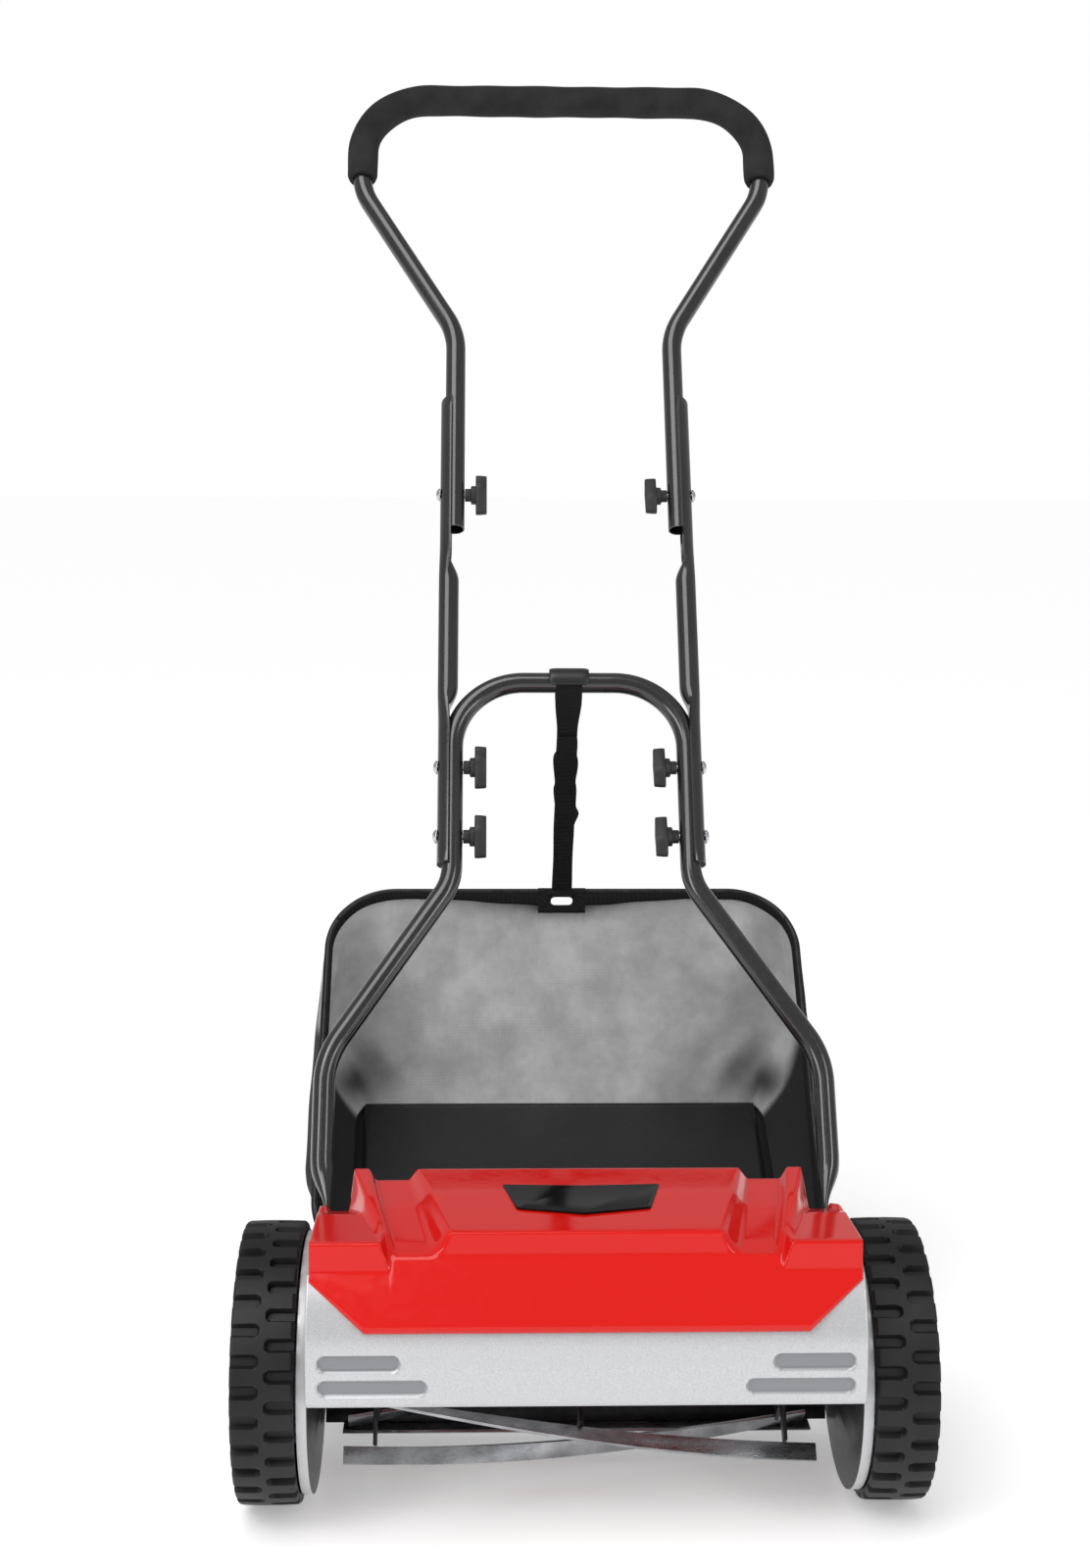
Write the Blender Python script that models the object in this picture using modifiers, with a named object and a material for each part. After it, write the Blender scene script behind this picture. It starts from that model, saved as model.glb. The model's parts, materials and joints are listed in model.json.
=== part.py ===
"""Push reel mower with a grass bag, built as an assembly of separate pieces.

X runs across the mower, -Y is its front, +Z is up and the ground is Z = 0.  Each piece is shaped
in the mower's own frame, whose Y = 0 is the wheel axle.  The empty "mower" then carries the whole
assembly to the place where the middle of its bounding box stands over the origin.
"""
import math

import bmesh
import bpy
import numpy as np
from mathutils import Matrix, Vector

MM = 0.001

# Whole mower
AXLE_Y = -283.8 * MM          # the axle's place once the bounding box is centred
GAP = 0.3 * MM                # clearance between touching pieces

# Wheels
WHEEL_RADIUS = 110 * MM
TYRE_X = (221, 269)           # mm, inner and outer face
RIM_OUTER_RADIUS = 100.7      # mm
AXLE_RADIUS = 8 * MM
AXLE_END_X = 257.5 * MM
WHEEL_SEGMENTS = 44

# Drive
RING_TEETH = 40
PINION_TEETH = 10
GEAR_MODULE = 2.25 * MM
GEAR_INNER_X = 224 * MM
GEAR_OUTER_X = 236 * MM
REEL_ANGLE = math.radians(24.5)     # of the reel axis behind straight below the axle

# Reel and bed knife
REEL_RADIUS = 60 * MM
REEL_HALF = 190 * MM
BLADE_COUNT = 5
BLADE_HEIGHT = 14 * MM
BLADE_THICK = 3 * MM
BLADE_TWIST = math.radians(75)
SPIDER_X = (-165 * MM, 0.0, 165 * MM)
SHAFT_RADIUS = 7 * MM
KNIFE_ANGLE = math.radians(28)      # of the cutting edge behind straight below the reel axis
KNIFE_PIVOT = (76 * MM, 50 * MM)    # Y, Z of the bed knife carrier's axis

# Chassis
PLATE_INNER_X = 211 * MM
PLATE_OUTER_X = 219.5 * MM
PLATE_RADIUS = 102 * MM
REAR_BAR = (170 * MM, 94 * MM)      # Y, Z, and the axis that the bag swings on
REAR_BAR_RADIUS = 6 * MM
CLAMP_STUD = (150 * MM, 64 * MM)    # Y, Z of the height clamp at its rest setting
HEIGHT_UP = 12 * MM
HEIGHT_DOWN = 8 * MM
ROLLER_RADIUS = 22 * MM
ROLLER_Y = 150 * MM

# Handle: s runs up the handle from its pivot, n stands off its plane towards the front
PIVOT = (57 * MM, 150 * MM)         # Y, Z
LEAN = math.radians(30.5)
TUBE_RADIUS = 9.5 * MM
TUBE_WALL = 1.1 * MM
TUBE_SIDES = 10
LEG_X = 215 * MM
LEG_END_X = 207.8 * MM
WAIST_X = 107 * MM
LEG_TOP_S = 191 * MM
WAIST_S = 351 * MM
ARCH_S = 545.6 * MM
ARCH_CORNER = 65 * MM
MID_X = 112 * MM
MID_S = (367 * MM, 850 * MM)
SADDLE_THICK = 4 * MM
SADDLE_SPAN = math.radians(75)
UPPER_END_S = 706 * MM
UPPER_WAIST_S = 926 * MM
GRIP_X = 204 * MM
GRIP_LOW_S = 1096 * MM
GRIP_S = 1211 * MM
GRIP_CORNER = 68.5 * MM
FOAM_RADIUS = 15.5 * MM
FOAM_END_S = 1109 * MM
BOLT_RADIUS = 3 * MM
BOLT_HOLE = 3.3 * MM
CLAMP_S = (394 * MM, 461 * MM, 743 * MM)

# Grass bag: its mouth lies in the sloping plane from the front hooks to the rear rim
BAG_FRONT = (196 * MM, 96 * MM)     # Y, Z
BAG_RIM = (484 * MM, 389 * MM)
BAG_HEEL = (498 * MM, 160 * MM)
BAG_FRONT_X = 199 * MM
BAG_RIM_X = 236 * MM
BAG_FLOOR_X = 209 * MM
BAG_WALL = 1.4 * MM
BAG_CORNER = 66 * MM
BAG_SHOULDER = 60 * MM        # up the mouth from its hooks to where its sides run straight
RIM_WIRE = 2.5 * MM
FLOOR_THICK = 1.6 * MM
STRAP_WIDTH = 20 * MM
STRAP_THICK = 1.6 * MM

# ---------------------------------------------------------------- scene, materials and helpers

for old in list(bpy.data.objects):
    bpy.data.objects.remove(old, do_unlink=True)

PARTS = bpy.data.collections.new("reel_mower")
CUTTERS = bpy.data.collections.new("cutters")
bpy.context.scene.collection.children.link(PARTS)
bpy.context.scene.collection.children.link(CUTTERS)

MOWER = bpy.data.objects.new("mower", None)
MOWER.location = (0.0, AXLE_Y, 0.0)
PARTS.objects.link(MOWER)


def material(name, colour, roughness, metallic=0.0):
    """A Principled material of one colour."""
    mat = bpy.data.materials.new(name)
    mat.use_nodes = True
    shader = mat.node_tree.nodes["Principled BSDF"]
    shader.inputs["Base Color"].default_value = (*colour, 1.0)
    shader.inputs["Roughness"].default_value = roughness
    shader.inputs["Metallic"].default_value = metallic
    return mat


def add_part(name, mesh, colour, roughness, metallic=0.0, pivot=(0.0, 0.0, 0.0)):
    """Link a mesh shaped in the mower's frame as a piece whose origin is its pivot."""
    mesh.transform(Matrix.Translation(-Vector(pivot)))
    mesh.materials.append(material(name, colour, roughness, metallic))
    mesh.shade_smooth()
    mesh.set_sharp_from_angle(angle=math.radians(35))
    part = bpy.data.objects.new(name, mesh)
    part.location = pivot
    part.parent = MOWER
    PARTS.objects.link(part)
    return part


def mesh_of(name, work):
    """A mesh from a bmesh, with its faces turned outwards."""
    bmesh.ops.recalc_face_normals(work, faces=work.faces)
    mesh = bpy.data.meshes.new(name)
    work.to_mesh(mesh)
    work.free()
    return mesh


def loft(name, rings, capped=True):
    """A skin over a row of rings that have the same number of points."""
    work = bmesh.new()
    rows = [[work.verts.new(point) for point in ring] for ring in rings]
    for low, high in zip(rows, rows[1:]):
        for i in range(len(low)):
            j = (i + 1) % len(low)
            work.faces.new((low[i], low[j], high[j], high[i]))
    if capped:
        work.faces.new(rows[0])
        work.faces.new(rows[-1])
    return mesh_of(name, work)


def turned(name, profile, centre, segments, closed=False):
    """A shape turned about an axis along X: the profile's points are (x, radius)."""
    work = bmesh.new()
    points = [work.verts.new((radius, 0.0, -x)) for x, radius in profile]
    ends = list(zip(points, points[1:]))
    if closed:
        ends.append((points[-1], points[0]))
    for first, second in ends:
        work.edges.new((first, second))
    mesh = bpy.data.meshes.new(name)
    work.to_mesh(mesh)
    work.free()
    blank = bpy.data.objects.new(name + "_profile", mesh)
    bpy.context.scene.collection.objects.link(blank)
    screw = blank.modifiers.new("turn", "SCREW")
    screw.steps = segments
    screw.render_steps = segments
    screw.use_merge_vertices = True
    screw.merge_threshold = 0.00001
    result = evaluated(blank)
    result.transform(Matrix.Translation(centre) @ Matrix.Rotation(math.radians(-90), 4, "Y"))
    work = bmesh.new()
    work.from_mesh(result)
    bpy.data.meshes.remove(result)
    return mesh_of(name, work)


def evaluated(source):
    """The finished mesh of an object, which is then removed."""
    depsgraph = bpy.context.evaluated_depsgraph_get()
    mesh = bpy.data.meshes.new_from_object(source.evaluated_get(depsgraph))
    bpy.data.objects.remove(source, do_unlink=True)
    return mesh


def plate(name, outlines, x_low, x_high):
    """A flat plate across X, cut from an outline in (y, z) and the holes that follow it."""
    curve = bpy.data.curves.new(name, "CURVE")
    curve.dimensions = "2D"
    curve.fill_mode = "BOTH"
    curve.extrude = (x_high - x_low) / 2
    for outline in outlines:
        spline = curve.splines.new("POLY")
        spline.points.add(len(outline) - 1)
        for point, (y, z) in zip(spline.points, outline):
            point.co = (y, z, 0.0, 1.0)
        spline.use_cyclic_u = True
    blank = bpy.data.objects.new(name + "_outline", curve)
    bpy.context.scene.collection.objects.link(blank)
    mesh = evaluated(blank)
    across = Matrix(((0, 0, 1, (x_low + x_high) / 2), (1, 0, 0, 0), (0, 1, 0, 0), (0, 0, 0, 1)))
    mesh.transform(across)
    work = bmesh.new()
    work.from_mesh(mesh)
    bmesh.ops.remove_doubles(work, verts=work.verts, dist=0.00001)
    bpy.data.meshes.remove(mesh)
    return mesh_of(name, work)


def circle(centre, radius, count, start=0.0):
    """Points (y, z) around a circle."""
    angles = [start + 2 * math.pi * i / count for i in range(count)]
    return [(centre[0] + radius * math.cos(a), centre[1] + radius * math.sin(a)) for a in angles]


def slot_outline(centre, low, high, radius, count=6):
    """Points (y, z) round an upright slot from low to high above its centre."""
    points = []
    for end, start in ((high, 0.0), (low, math.pi)):
        for i in range(count + 1):
            angle = start + math.pi * i / count
            y = centre[0] + radius * math.cos(angle)
            points.append((y, centre[1] + end + radius * math.sin(angle)))
    return points


def rounded_path(corners, radii, steps):
    """Points along straight runs whose inner corners are rounded to the radii."""
    corners = [np.array(corner, float) for corner in corners]
    points = [corners[0]]
    for before, corner, after, radius, count in zip(
            corners, corners[1:], corners[2:], radii, steps):
        back = (before - corner) / np.linalg.norm(before - corner)
        ahead = (after - corner) / np.linalg.norm(after - corner)
        half = math.acos(float(np.clip(back @ ahead, -1, 1))) / 2
        reach = radius / math.tan(half)
        middle = (back + ahead) / np.linalg.norm(back + ahead)
        centre = corner + middle * radius / math.sin(half)
        first = corner + back * reach - centre
        last = corner + ahead * reach - centre
        turn = math.pi - 2 * half
        for i in range(count + 1):
            t = i / count
            arm = (math.sin((1 - t) * turn) * first + math.sin(t * turn) * last) / math.sin(turn)
            points.append(centre + arm)
    points.append(corners[-1])
    return np.array(points)


def stadium(half_thick, half_width, sides):
    """Ring offsets (side, normal): a circle, or a flattened tube where it is wider."""
    offsets = []
    for i in range(sides):
        angle = 2 * math.pi * (i + 0.5) / sides
        shift = math.copysign(half_width - half_thick, math.sin(angle))
        offsets.append((half_thick * math.cos(angle), shift + half_thick * math.sin(angle)))
    return offsets


def tube_rings(path, normals, sections):
    """Rings of section offsets along a path, in the planes halfway between its runs."""
    runs = np.diff(path, axis=0)
    runs /= np.linalg.norm(runs, axis=1)[:, None]
    rings = []
    for i, (point, normal, section) in enumerate(zip(path, normals, sections)):
        before = runs[max(i - 1, 0)]
        after = runs[min(i, len(runs) - 1)]
        tangent = before + after
        tangent /= np.linalg.norm(tangent)
        side = np.cross(tangent, normal)
        side /= np.linalg.norm(side)
        stretch = 1 / max(float(tangent @ after), 0.5)
        rings.append([point + side * a * stretch + normal * b for a, b in section])
    return rings


def carried_normals(path, first):
    """A normal for each point of a path, carried along it without twisting."""
    runs = np.diff(path, axis=0)
    normals = []
    normal = np.array(first)
    for i in range(len(path)):
        tangent = runs[max(i - 1, 0)] + runs[min(i, len(runs) - 1)]
        tangent /= np.linalg.norm(tangent)
        normal = normal - tangent * float(normal @ tangent)
        normal /= np.linalg.norm(normal)
        normals.append(normal)
    return normals


def on_handle(x, s, n=0.0):
    """A point of the handle in the mower's frame."""
    along = np.array((0.0, math.sin(LEAN), math.cos(LEAN)))
    normal = np.array((0.0, -math.cos(LEAN), math.sin(LEAN)))
    return np.array((x, PIVOT[0], PIVOT[1])) + along * s + normal * n


HANDLE_NORMAL = np.array((0.0, -math.cos(LEAN), math.sin(LEAN)))


def cutter(name, mesh):
    """A hidden cutting tool."""
    tool = bpy.data.objects.new(name, mesh)
    tool.parent = MOWER
    tool.hide_render = True
    tool.display_type = "WIRE"
    CUTTERS.objects.link(tool)
    return tool


def cut(part, tool, operation="DIFFERENCE"):
    """Cut a part with a tool, or join the tool to it."""
    boolean = part.modifiers.new(tool.name, "BOOLEAN")
    boolean.operation = operation
    boolean.object = tool
    boolean.solver = "EXACT"


def rod(name, x_low, x_high, radius, centre, segments=16):
    """A plain round rod along X as a mesh; its centre is (y, z)."""
    profile = [(x_low, 0.0), (x_low, radius), (x_high, radius), (x_high, 0.0)]
    return turned(name, profile, (0.0, *centre), segments)


def mirrored(profile, side):
    """A turned profile for the right side, or its mirror image on the left."""
    return [(side * x, radius) for x, radius in profile]


def span(side, low, high):
    """The two X limits of a piece on one side, in rising order."""
    return (low, high) if side > 0 else (-high, -low)


SIDES = (("left", -1), ("right", 1))
AXLE = (0.0, WHEEL_RADIUS)
PITCH_RADIUS_RING = GEAR_MODULE * RING_TEETH / 2
PITCH_RADIUS_PINION = GEAR_MODULE * PINION_TEETH / 2
GEAR_OFFSET = PITCH_RADIUS_RING - PITCH_RADIUS_PINION
REEL = (GEAR_OFFSET * math.sin(REEL_ANGLE), WHEEL_RADIUS - GEAR_OFFSET * math.cos(REEL_ANGLE))

BLACK = (0.025, 0.025, 0.027)
STEEL = (0.55, 0.56, 0.58)
DARK_STEEL = (0.18, 0.18, 0.19)
SILVER = (0.62, 0.63, 0.64)
RED = (0.75, 0.015, 0.012)
RUBBER = (0.02, 0.02, 0.021)

# ---------------------------------------------------------------- side plates and cross members


def side_plate_outline():
    """The round plate with a tail behind it for the roller, the rear bar and the bag hooks."""
    top_join = math.radians(34)
    low_join = math.radians(-50)
    steps = 40
    points = []
    for i in range(steps + 1):
        angle = top_join + (2 * math.pi + low_join - top_join) * i / steps
        points.append((AXLE[0] + PLATE_RADIUS * math.cos(angle),
                       AXLE[1] + PLATE_RADIUS * math.sin(angle)))
    tail = rounded_path(
        [(points[-1][0], points[-1][1], 0), (128 * MM, 36 * MM, 0), (166 * MM, 44 * MM, 0),
         (186 * MM, 84 * MM, 0), (178 * MM, 110 * MM, 0), (points[0][0], points[0][1], 0)],
        [12 * MM, 12 * MM, 12 * MM, 12 * MM], [2, 2, 2, 2])
    return points + [(y, z) for y, z, _ in tail[1:-1]]


PLATE_HOLES = [
    circle(AXLE, AXLE_RADIUS + GAP, 20),
    circle(REEL, 14 * MM + GAP, 24),
    circle(PIVOT, 4 * MM + GAP, 16),
    circle(REAR_BAR, REAR_BAR_RADIUS + GAP, 16),
    circle(KNIFE_PIVOT, 5 * MM + GAP, 16),
    slot_outline(CLAMP_STUD, -HEIGHT_DOWN, HEIGHT_UP, 4.3 * MM),
]

for side_name, side in SIDES:
    x_low, x_high = span(side, PLATE_INNER_X, PLATE_OUTER_X)
    add_part("side_plate_" + side_name,
             plate("side_plate", [side_plate_outline()] + PLATE_HOLES, x_low, x_high),
             SILVER, 0.35, 0.1)

add_part("rear_bar", rod("rear_bar", -PLATE_OUTER_X, PLATE_OUTER_X, REAR_BAR_RADIUS, REAR_BAR),
         DARK_STEEL, 0.4, 0.8)


def shell(name, grid, thickness):
    """An open sheet through a grid of points, thickened inwards."""
    work = bmesh.new()
    rows = [[work.verts.new(point) for point in row] for row in grid]
    for low, high in zip(rows, rows[1:]):
        for i in range(len(low) - 1):
            work.faces.new((low[i], low[i + 1], high[i + 1], high[i]))
    mesh = bpy.data.meshes.new(name)
    work.to_mesh(mesh)
    work.free()
    blank = bpy.data.objects.new(name + "_sheet", mesh)
    bpy.context.scene.collection.objects.link(blank)
    solidify = blank.modifiers.new("wall", "SOLIDIFY")
    solidify.thickness = thickness
    solidify.offset = -1.0
    solidify.use_even_offset = True
    solidify.use_quality_normals = True
    return evaluated(blank)


# The silver front member: a bowed cover from one side plate to the other.
FRONT_PROFILE = [(-98, 120), (-111, 122), (-114.5, 128), (-115.5, 150), (-112.5, 178),
                 (-102, 202), (-90, 219)]
FRONT_HALF = PLATE_INNER_X - GAP

front_grid = [[(x, y * MM, z * MM) for y, z in reversed(FRONT_PROFILE)]
              for x in np.linspace(-FRONT_HALF, FRONT_HALF, 5)]
front = add_part("front_housing", shell("front_housing", front_grid, 3 * MM), SILVER, 0.35, 0.1)

# Four shallow recesses with round ends pressed into the front member.
RECESSES = [(-1, 146, 196, 158), (-1, 126, 196, 139), (1, 146, 196, 158), (1, 126, 196, 139)]


def recess(number, side, near, far, z):
    """A cutter with round ends that stands into the cover's face."""
    radius = 6 * MM
    outline = []
    for end, start in ((far * MM, -90), (near * MM, 90)):
        for i in range(5):
            angle = math.radians(start + 45 * i)
            outline.append((side * (end + radius * math.cos(angle)),
                            z * MM + radius * math.sin(angle)))
    face = -114.2 * MM
    rings = [[(x, face, z_) for x, z_ in outline], [(x, face - 8 * MM, z_) for x, z_ in outline]]
    return cutter("recess_%d" % number, loft("recess", rings))


for number, (side, near, far, z) in enumerate(RECESSES):
    cut(front, recess(number, side, near, far, z))

# ---------------------------------------------------------------- hood and badge

HOOD_HALF = 209 * MM
HOOD_WALL = 2.6 * MM


# X of the hood's feature lines at its rear edge, along its front crest and at the steps' feet
HOOD_REAR = np.array((0, 60, 121, 131, 141, 166, 172.5, 184, 187, 209)) * MM
HOOD_CREST = np.array((0, 52, 93, 101, 122, 147, 152, 153.5, 156, 209)) * MM
HOOD_FOOT = np.array((0, 52, 99, 107.6, 121, 143, 144.5, 146, 148.5, 209)) * MM
HOOD_ROWS = [HOOD_REAR, HOOD_REAR + (HOOD_CREST - HOOD_REAR) * 0.41, HOOD_CREST, HOOD_FOOT, HOOD_FOOT,
             HOOD_FOOT]

# (y, z) down each zone's section, from the rear edge over the crest and down the front face
CENTRE_SECTION = [(58, 249), (0, 250.5), (-82, 249), (-90, 230), (-106, 206), (-119.5, 183)]
VALLEY_SECTION = [(58, 239.5), (0, 238), (-62, 234), (-90, 229.5), (-106, 206), (-119.5, 183)]
FIN_SECTION = [(58, 249.5), (0, 247.5), (-62, 241), (-91, 229.3), (-106, 206), (-119.5, 183)]
POD_SECTION = [(34, 222), (-12, 237), (-89, 243.5), (-96, 222), (-106, 206), (-119.5, 183)]
HOOD_ZONES = ("centre", "centre", "centre", "centre", "valley", "valley", "fin", "fin", "pod", "pod")
CHAMFER_START = 167 * MM
CHAMFER_RISE = 33 * MM


def hood_half():
    """Columns of points over the right half of the hood."""
    sections = {"centre": CENTRE_SECTION, "valley": VALLEY_SECTION, "fin": FIN_SECTION,
                "pod": POD_SECTION}
    grid = []
    count = len(CENTRE_SECTION)
    for column, zone in enumerate(HOOD_ZONES):
        points = []
        for row, (y, z) in enumerate(sections[zone]):
            x = HOOD_ROWS[row][column]
            if row >= count - 1 and x > CHAMFER_START:
                share = (x - CHAMFER_START) / (HOOD_HALF - CHAMFER_START)
                y, z = y + 12.5 * share, z + CHAMFER_RISE / MM * share
            if row == count - 2 and x > CHAMFER_START:
                share = (x - CHAMFER_START) / (HOOD_HALF - CHAMFER_START)
                y, z = y + 5 * share, z + 13 * share
            points.append((x, y * MM, z * MM))
        grid.append(points)
    return grid


right_half = hood_half()
left_half = [[(-x, y, z) for x, y, z in column] for column in reversed(right_half[1:])]
add_part("hood", shell("hood", left_half + right_half, HOOD_WALL), RED, 0.12)

BADGE_OUTLINE = [(-63, 14), (0, 11), (63, 14), (52, -38), (0, -50), (-52, -38)]
badge_rings = [[(x * MM, y * MM, z * MM) for x, y in BADGE_OUTLINE] for z in (250.9, 252.3)]
add_part("badge", loft("badge", badge_rings), (0.01, 0.01, 0.012), 0.1)

# ---------------------------------------------------------------- cutting reel


def reel_point(x, radius, angle):
    """A point at an angle about the reel's axis."""
    return (x, REEL[0] + radius * math.sin(angle), REEL[1] - radius * math.cos(angle))


def helical_blade(number):
    """A flat strip wound about the reel's axis from end to end."""
    start = 2 * math.pi * number / BLADE_COUNT
    rings = []
    for x in np.linspace(-REEL_HALF, REEL_HALF, 15):
        angle = start + BLADE_TWIST * x / (2 * REEL_HALF)
        half = BLADE_THICK / 2
        low = REEL_RADIUS - BLADE_HEIGHT
        ring = []
        for radius, shift in ((REEL_RADIUS, half), (REEL_RADIUS, -half), (low, -half), (low, half)):
            ring.append(reel_point(x, radius, angle + shift / radius))
        rings.append(ring)
    return loft("blade", rings)


for number in range(BLADE_COUNT):
    add_part("reel_blade_%d" % (number + 1), helical_blade(number), STEEL, 0.3, 0.9,
             pivot=(0.0, *REEL))

SPIDER_THICK = 3 * MM


def spider_outline(x):
    """A five-armed disc that reaches the inner edges of the blades."""
    points = []
    for number in range(BLADE_COUNT):
        middle = 2 * math.pi * number / BLADE_COUNT + BLADE_TWIST * x / (2 * REEL_HALF)
        reach = REEL_RADIUS - BLADE_HEIGHT - GAP - 0.2 * MM
        for radius, shift in ((20 * MM, -0.45), (reach, -0.13), (reach, 0.13), (20 * MM, 0.45)):
            _, y, z = reel_point(x, radius, middle + shift)
            points.append((y, z))
    return points


for number, x in enumerate(SPIDER_X):
    outlines = [spider_outline(x), circle(REEL, SHAFT_RADIUS + GAP, 20)]
    add_part("reel_spider_%d" % (number + 1),
             plate("spider", outlines, x - SPIDER_THICK / 2, x + SPIDER_THICK / 2),
             DARK_STEEL, 0.4, 0.8, pivot=(0.0, *REEL))

shaft_end = GEAR_OUTER_X + 1 * MM
add_part("reel_shaft", rod("reel_shaft", -shaft_end, shaft_end, SHAFT_RADIUS, REEL, 20),
         STEEL, 0.3, 0.9, pivot=(0.0, *REEL))

for side_name, side in SIDES:
    bearing = [(209, 7.3), (209, 15.5), (210.7, 15.5), (210.7, 14), (219.5, 14), (219.5, 7.3)]
    profile = mirrored([(x * MM, r * MM) for x, r in bearing], side)
    add_part("reel_bearing_" + side_name, turned("bearing", profile, (0.0, *REEL), 24, closed=True),
             STEEL, 0.3, 0.9)

# ---------------------------------------------------------------- drive gears


def gear_outline(centre, teeth, pitch_radius, inner, outer, phase, internal):
    """Straight-sided teeth: each has two points at its root and two at its tip."""
    points = []
    pitch = 2 * math.pi / teeth
    tip, root = (inner, outer) if internal else (outer, inner)
    for tooth in range(teeth):
        middle = phase + pitch * tooth
        for radius, share in ((root, -0.27), (tip, -0.11), (tip, 0.11), (root, 0.27)):
            angle = middle + pitch * share
            points.append((centre[0] + radius * math.cos(angle),
                           centre[1] + radius * math.sin(angle)))
    return points


MESH_DIRECTION = math.atan2(REEL[1] - AXLE[1], REEL[0] - AXLE[0])
ring_phase = MESH_DIRECTION + math.pi / RING_TEETH
pinion_phase = MESH_DIRECTION

for side_name, side in SIDES:
    low, high = span(side, GEAR_INNER_X, GEAR_OUTER_X)
    pinion_outline = gear_outline(REEL, PINION_TEETH, PITCH_RADIUS_PINION,
                                  PITCH_RADIUS_PINION - 2.3 * MM, PITCH_RADIUS_PINION + 1.7 * MM,
                                  pinion_phase, False)
    pinion = plate("pinion", [pinion_outline, circle(REEL, SHAFT_RADIUS + GAP, 20)], low, high)
    add_part("pinion_" + side_name, pinion, STEEL, 0.35, 0.8, pivot=(0.0, *REEL))

# ---------------------------------------------------------------- wheels

inner_x, outer_x = TYRE_X
tread = WHEEL_RADIUS / MM
TYRE_PROFILE = [(inner_x, 101), (inner_x, tread - 2.5), (inner_x + 2, tread), (outer_x - 2, tread),
                (outer_x, tread - 2.5), (outer_x, 101)]
# Down the inner shield of the gears, out along the tyre's seat, and back over the dished web
RIM_PROFILE = [(222, 58), (222, 62), (234, 66), (234, RIM_OUTER_RADIUS), (267, RIM_OUTER_RADIUS),
               (267, 97.5), (244, 97.5), (244, 62), (250, 24), (258, 24), (258, 8.3), (238.5, 8.3),
               (238.5, 58)]
CAP_PROFILE = [(258.5, 0.0), (258.5, 40), (263, 47), (271, 42), (275, 26), (276.3, 0.0)]

for side_name, side in SIDES:
    centre = (0.0, *AXLE)
    tyre = mirrored([(x * MM, r * MM) for x, r in TYRE_PROFILE], side)
    add_part("tyre_" + side_name, turned("tyre", tyre, centre, WHEEL_SEGMENTS, closed=True),
             RUBBER, 0.8, pivot=centre)

    rim_profile = mirrored([(x * MM, r * MM) for x, r in RIM_PROFILE], side)
    rim = add_part("wheel_rim_" + side_name, turned("rim", rim_profile, centre, 32, closed=True),
                   SILVER, 0.4, 0.1, pivot=centre)
    low, high = span(side, GEAR_INNER_X - 1 * MM, GEAR_OUTER_X + 3.5 * MM)
    ring = plate("ring", [circle(AXLE, 59.5 * MM, 32),
                          gear_outline(AXLE, RING_TEETH, PITCH_RADIUS_RING,
                                       PITCH_RADIUS_RING - 1.7 * MM, PITCH_RADIUS_RING + 2.3 * MM,
                                       ring_phase, True)], low, high)
    ring_tool = cutter("ring_gear_" + side_name, ring)
    cut(rim, ring_tool, "UNION")

    cap = mirrored([(x * MM, r * MM) for x, r in CAP_PROFILE], side)
    add_part("hub_cap_" + side_name, turned("cap", cap, centre, 32), SILVER, 0.3, 0.2, pivot=centre)

    x_low, x_high = span(side, PLATE_INNER_X, AXLE_END_X)
    add_part("axle_" + side_name, rod("axle", x_low, x_high, AXLE_RADIUS, AXLE, 20), STEEL, 0.3, 0.9)

# ---------------------------------------------------------------- bed knife

KNIFE_EDGE = (REEL[0] + (REEL_RADIUS + 0.5 * MM) * math.sin(KNIFE_ANGLE),
              REEL[1] - (REEL_RADIUS + 0.5 * MM) * math.cos(KNIFE_ANGLE))
KNIFE_HALF = REEL_HALF + 5 * MM
CARRIER_HALF = PLATE_INNER_X - 1 * MM


def prism(name, outline, half):
    """A bar of constant section along X; the outline's points are (y, z) in mm."""
    rings = [[(x, y * MM, z * MM) for y, z in outline] for x in (-half, half)]
    return loft(name, rings)


edge_y, edge_z = KNIFE_EDGE[0] / MM, KNIFE_EDGE[1] / MM
knife_section = [(edge_y, edge_z), (edge_y + 2, edge_z + 1.2), (edge_y + 28, edge_z + 1.2),
                 (edge_y + 28, edge_z - 2.3), (edge_y + 3, edge_z - 2.3)]
knife = add_part("bed_knife", prism("bed_knife", knife_section, KNIFE_HALF), STEEL, 0.3, 0.9,
                 pivot=(0.0, *KNIFE_PIVOT))

carrier_low = edge_z + 1.5
carrier_section = [(edge_y + 16, carrier_low), (edge_y + 28, carrier_low), (edge_y + 35, 43),
                   (edge_y + 38, 57), (edge_y + 30, 57), (edge_y + 25, 46), (edge_y + 18, 36)]
carrier = add_part("knife_carrier", prism("knife_carrier", carrier_section, CARRIER_HALF),
                   DARK_STEEL, 0.45, 0.7, pivot=(0.0, *KNIFE_PIVOT))
journal = cutter("journal", rod("journal", -PLATE_OUTER_X, PLATE_OUTER_X, 5 * MM, KNIFE_PIVOT))
cut(carrier, journal, "UNION")

# Two countersunk screws come up through the knife into the carrier's foot.
SCREW_X = 150 * MM
SCREW_Y = (edge_y + 22) * MM
SCREW_TOP = 33 * MM
KNIFE_UNDER = (edge_z - 2.3) * MM


def upright(name, x, low, high, radius, segments):
    """An upright round rod as a mesh."""
    work = bmesh.new()
    middle = Matrix.Translation((x, SCREW_Y, (low + high) / 2))
    bmesh.ops.create_cone(work, cap_ends=True, segments=segments, radius1=radius, radius2=radius,
                          depth=high - low, matrix=middle)
    return mesh_of(name, work)


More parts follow.
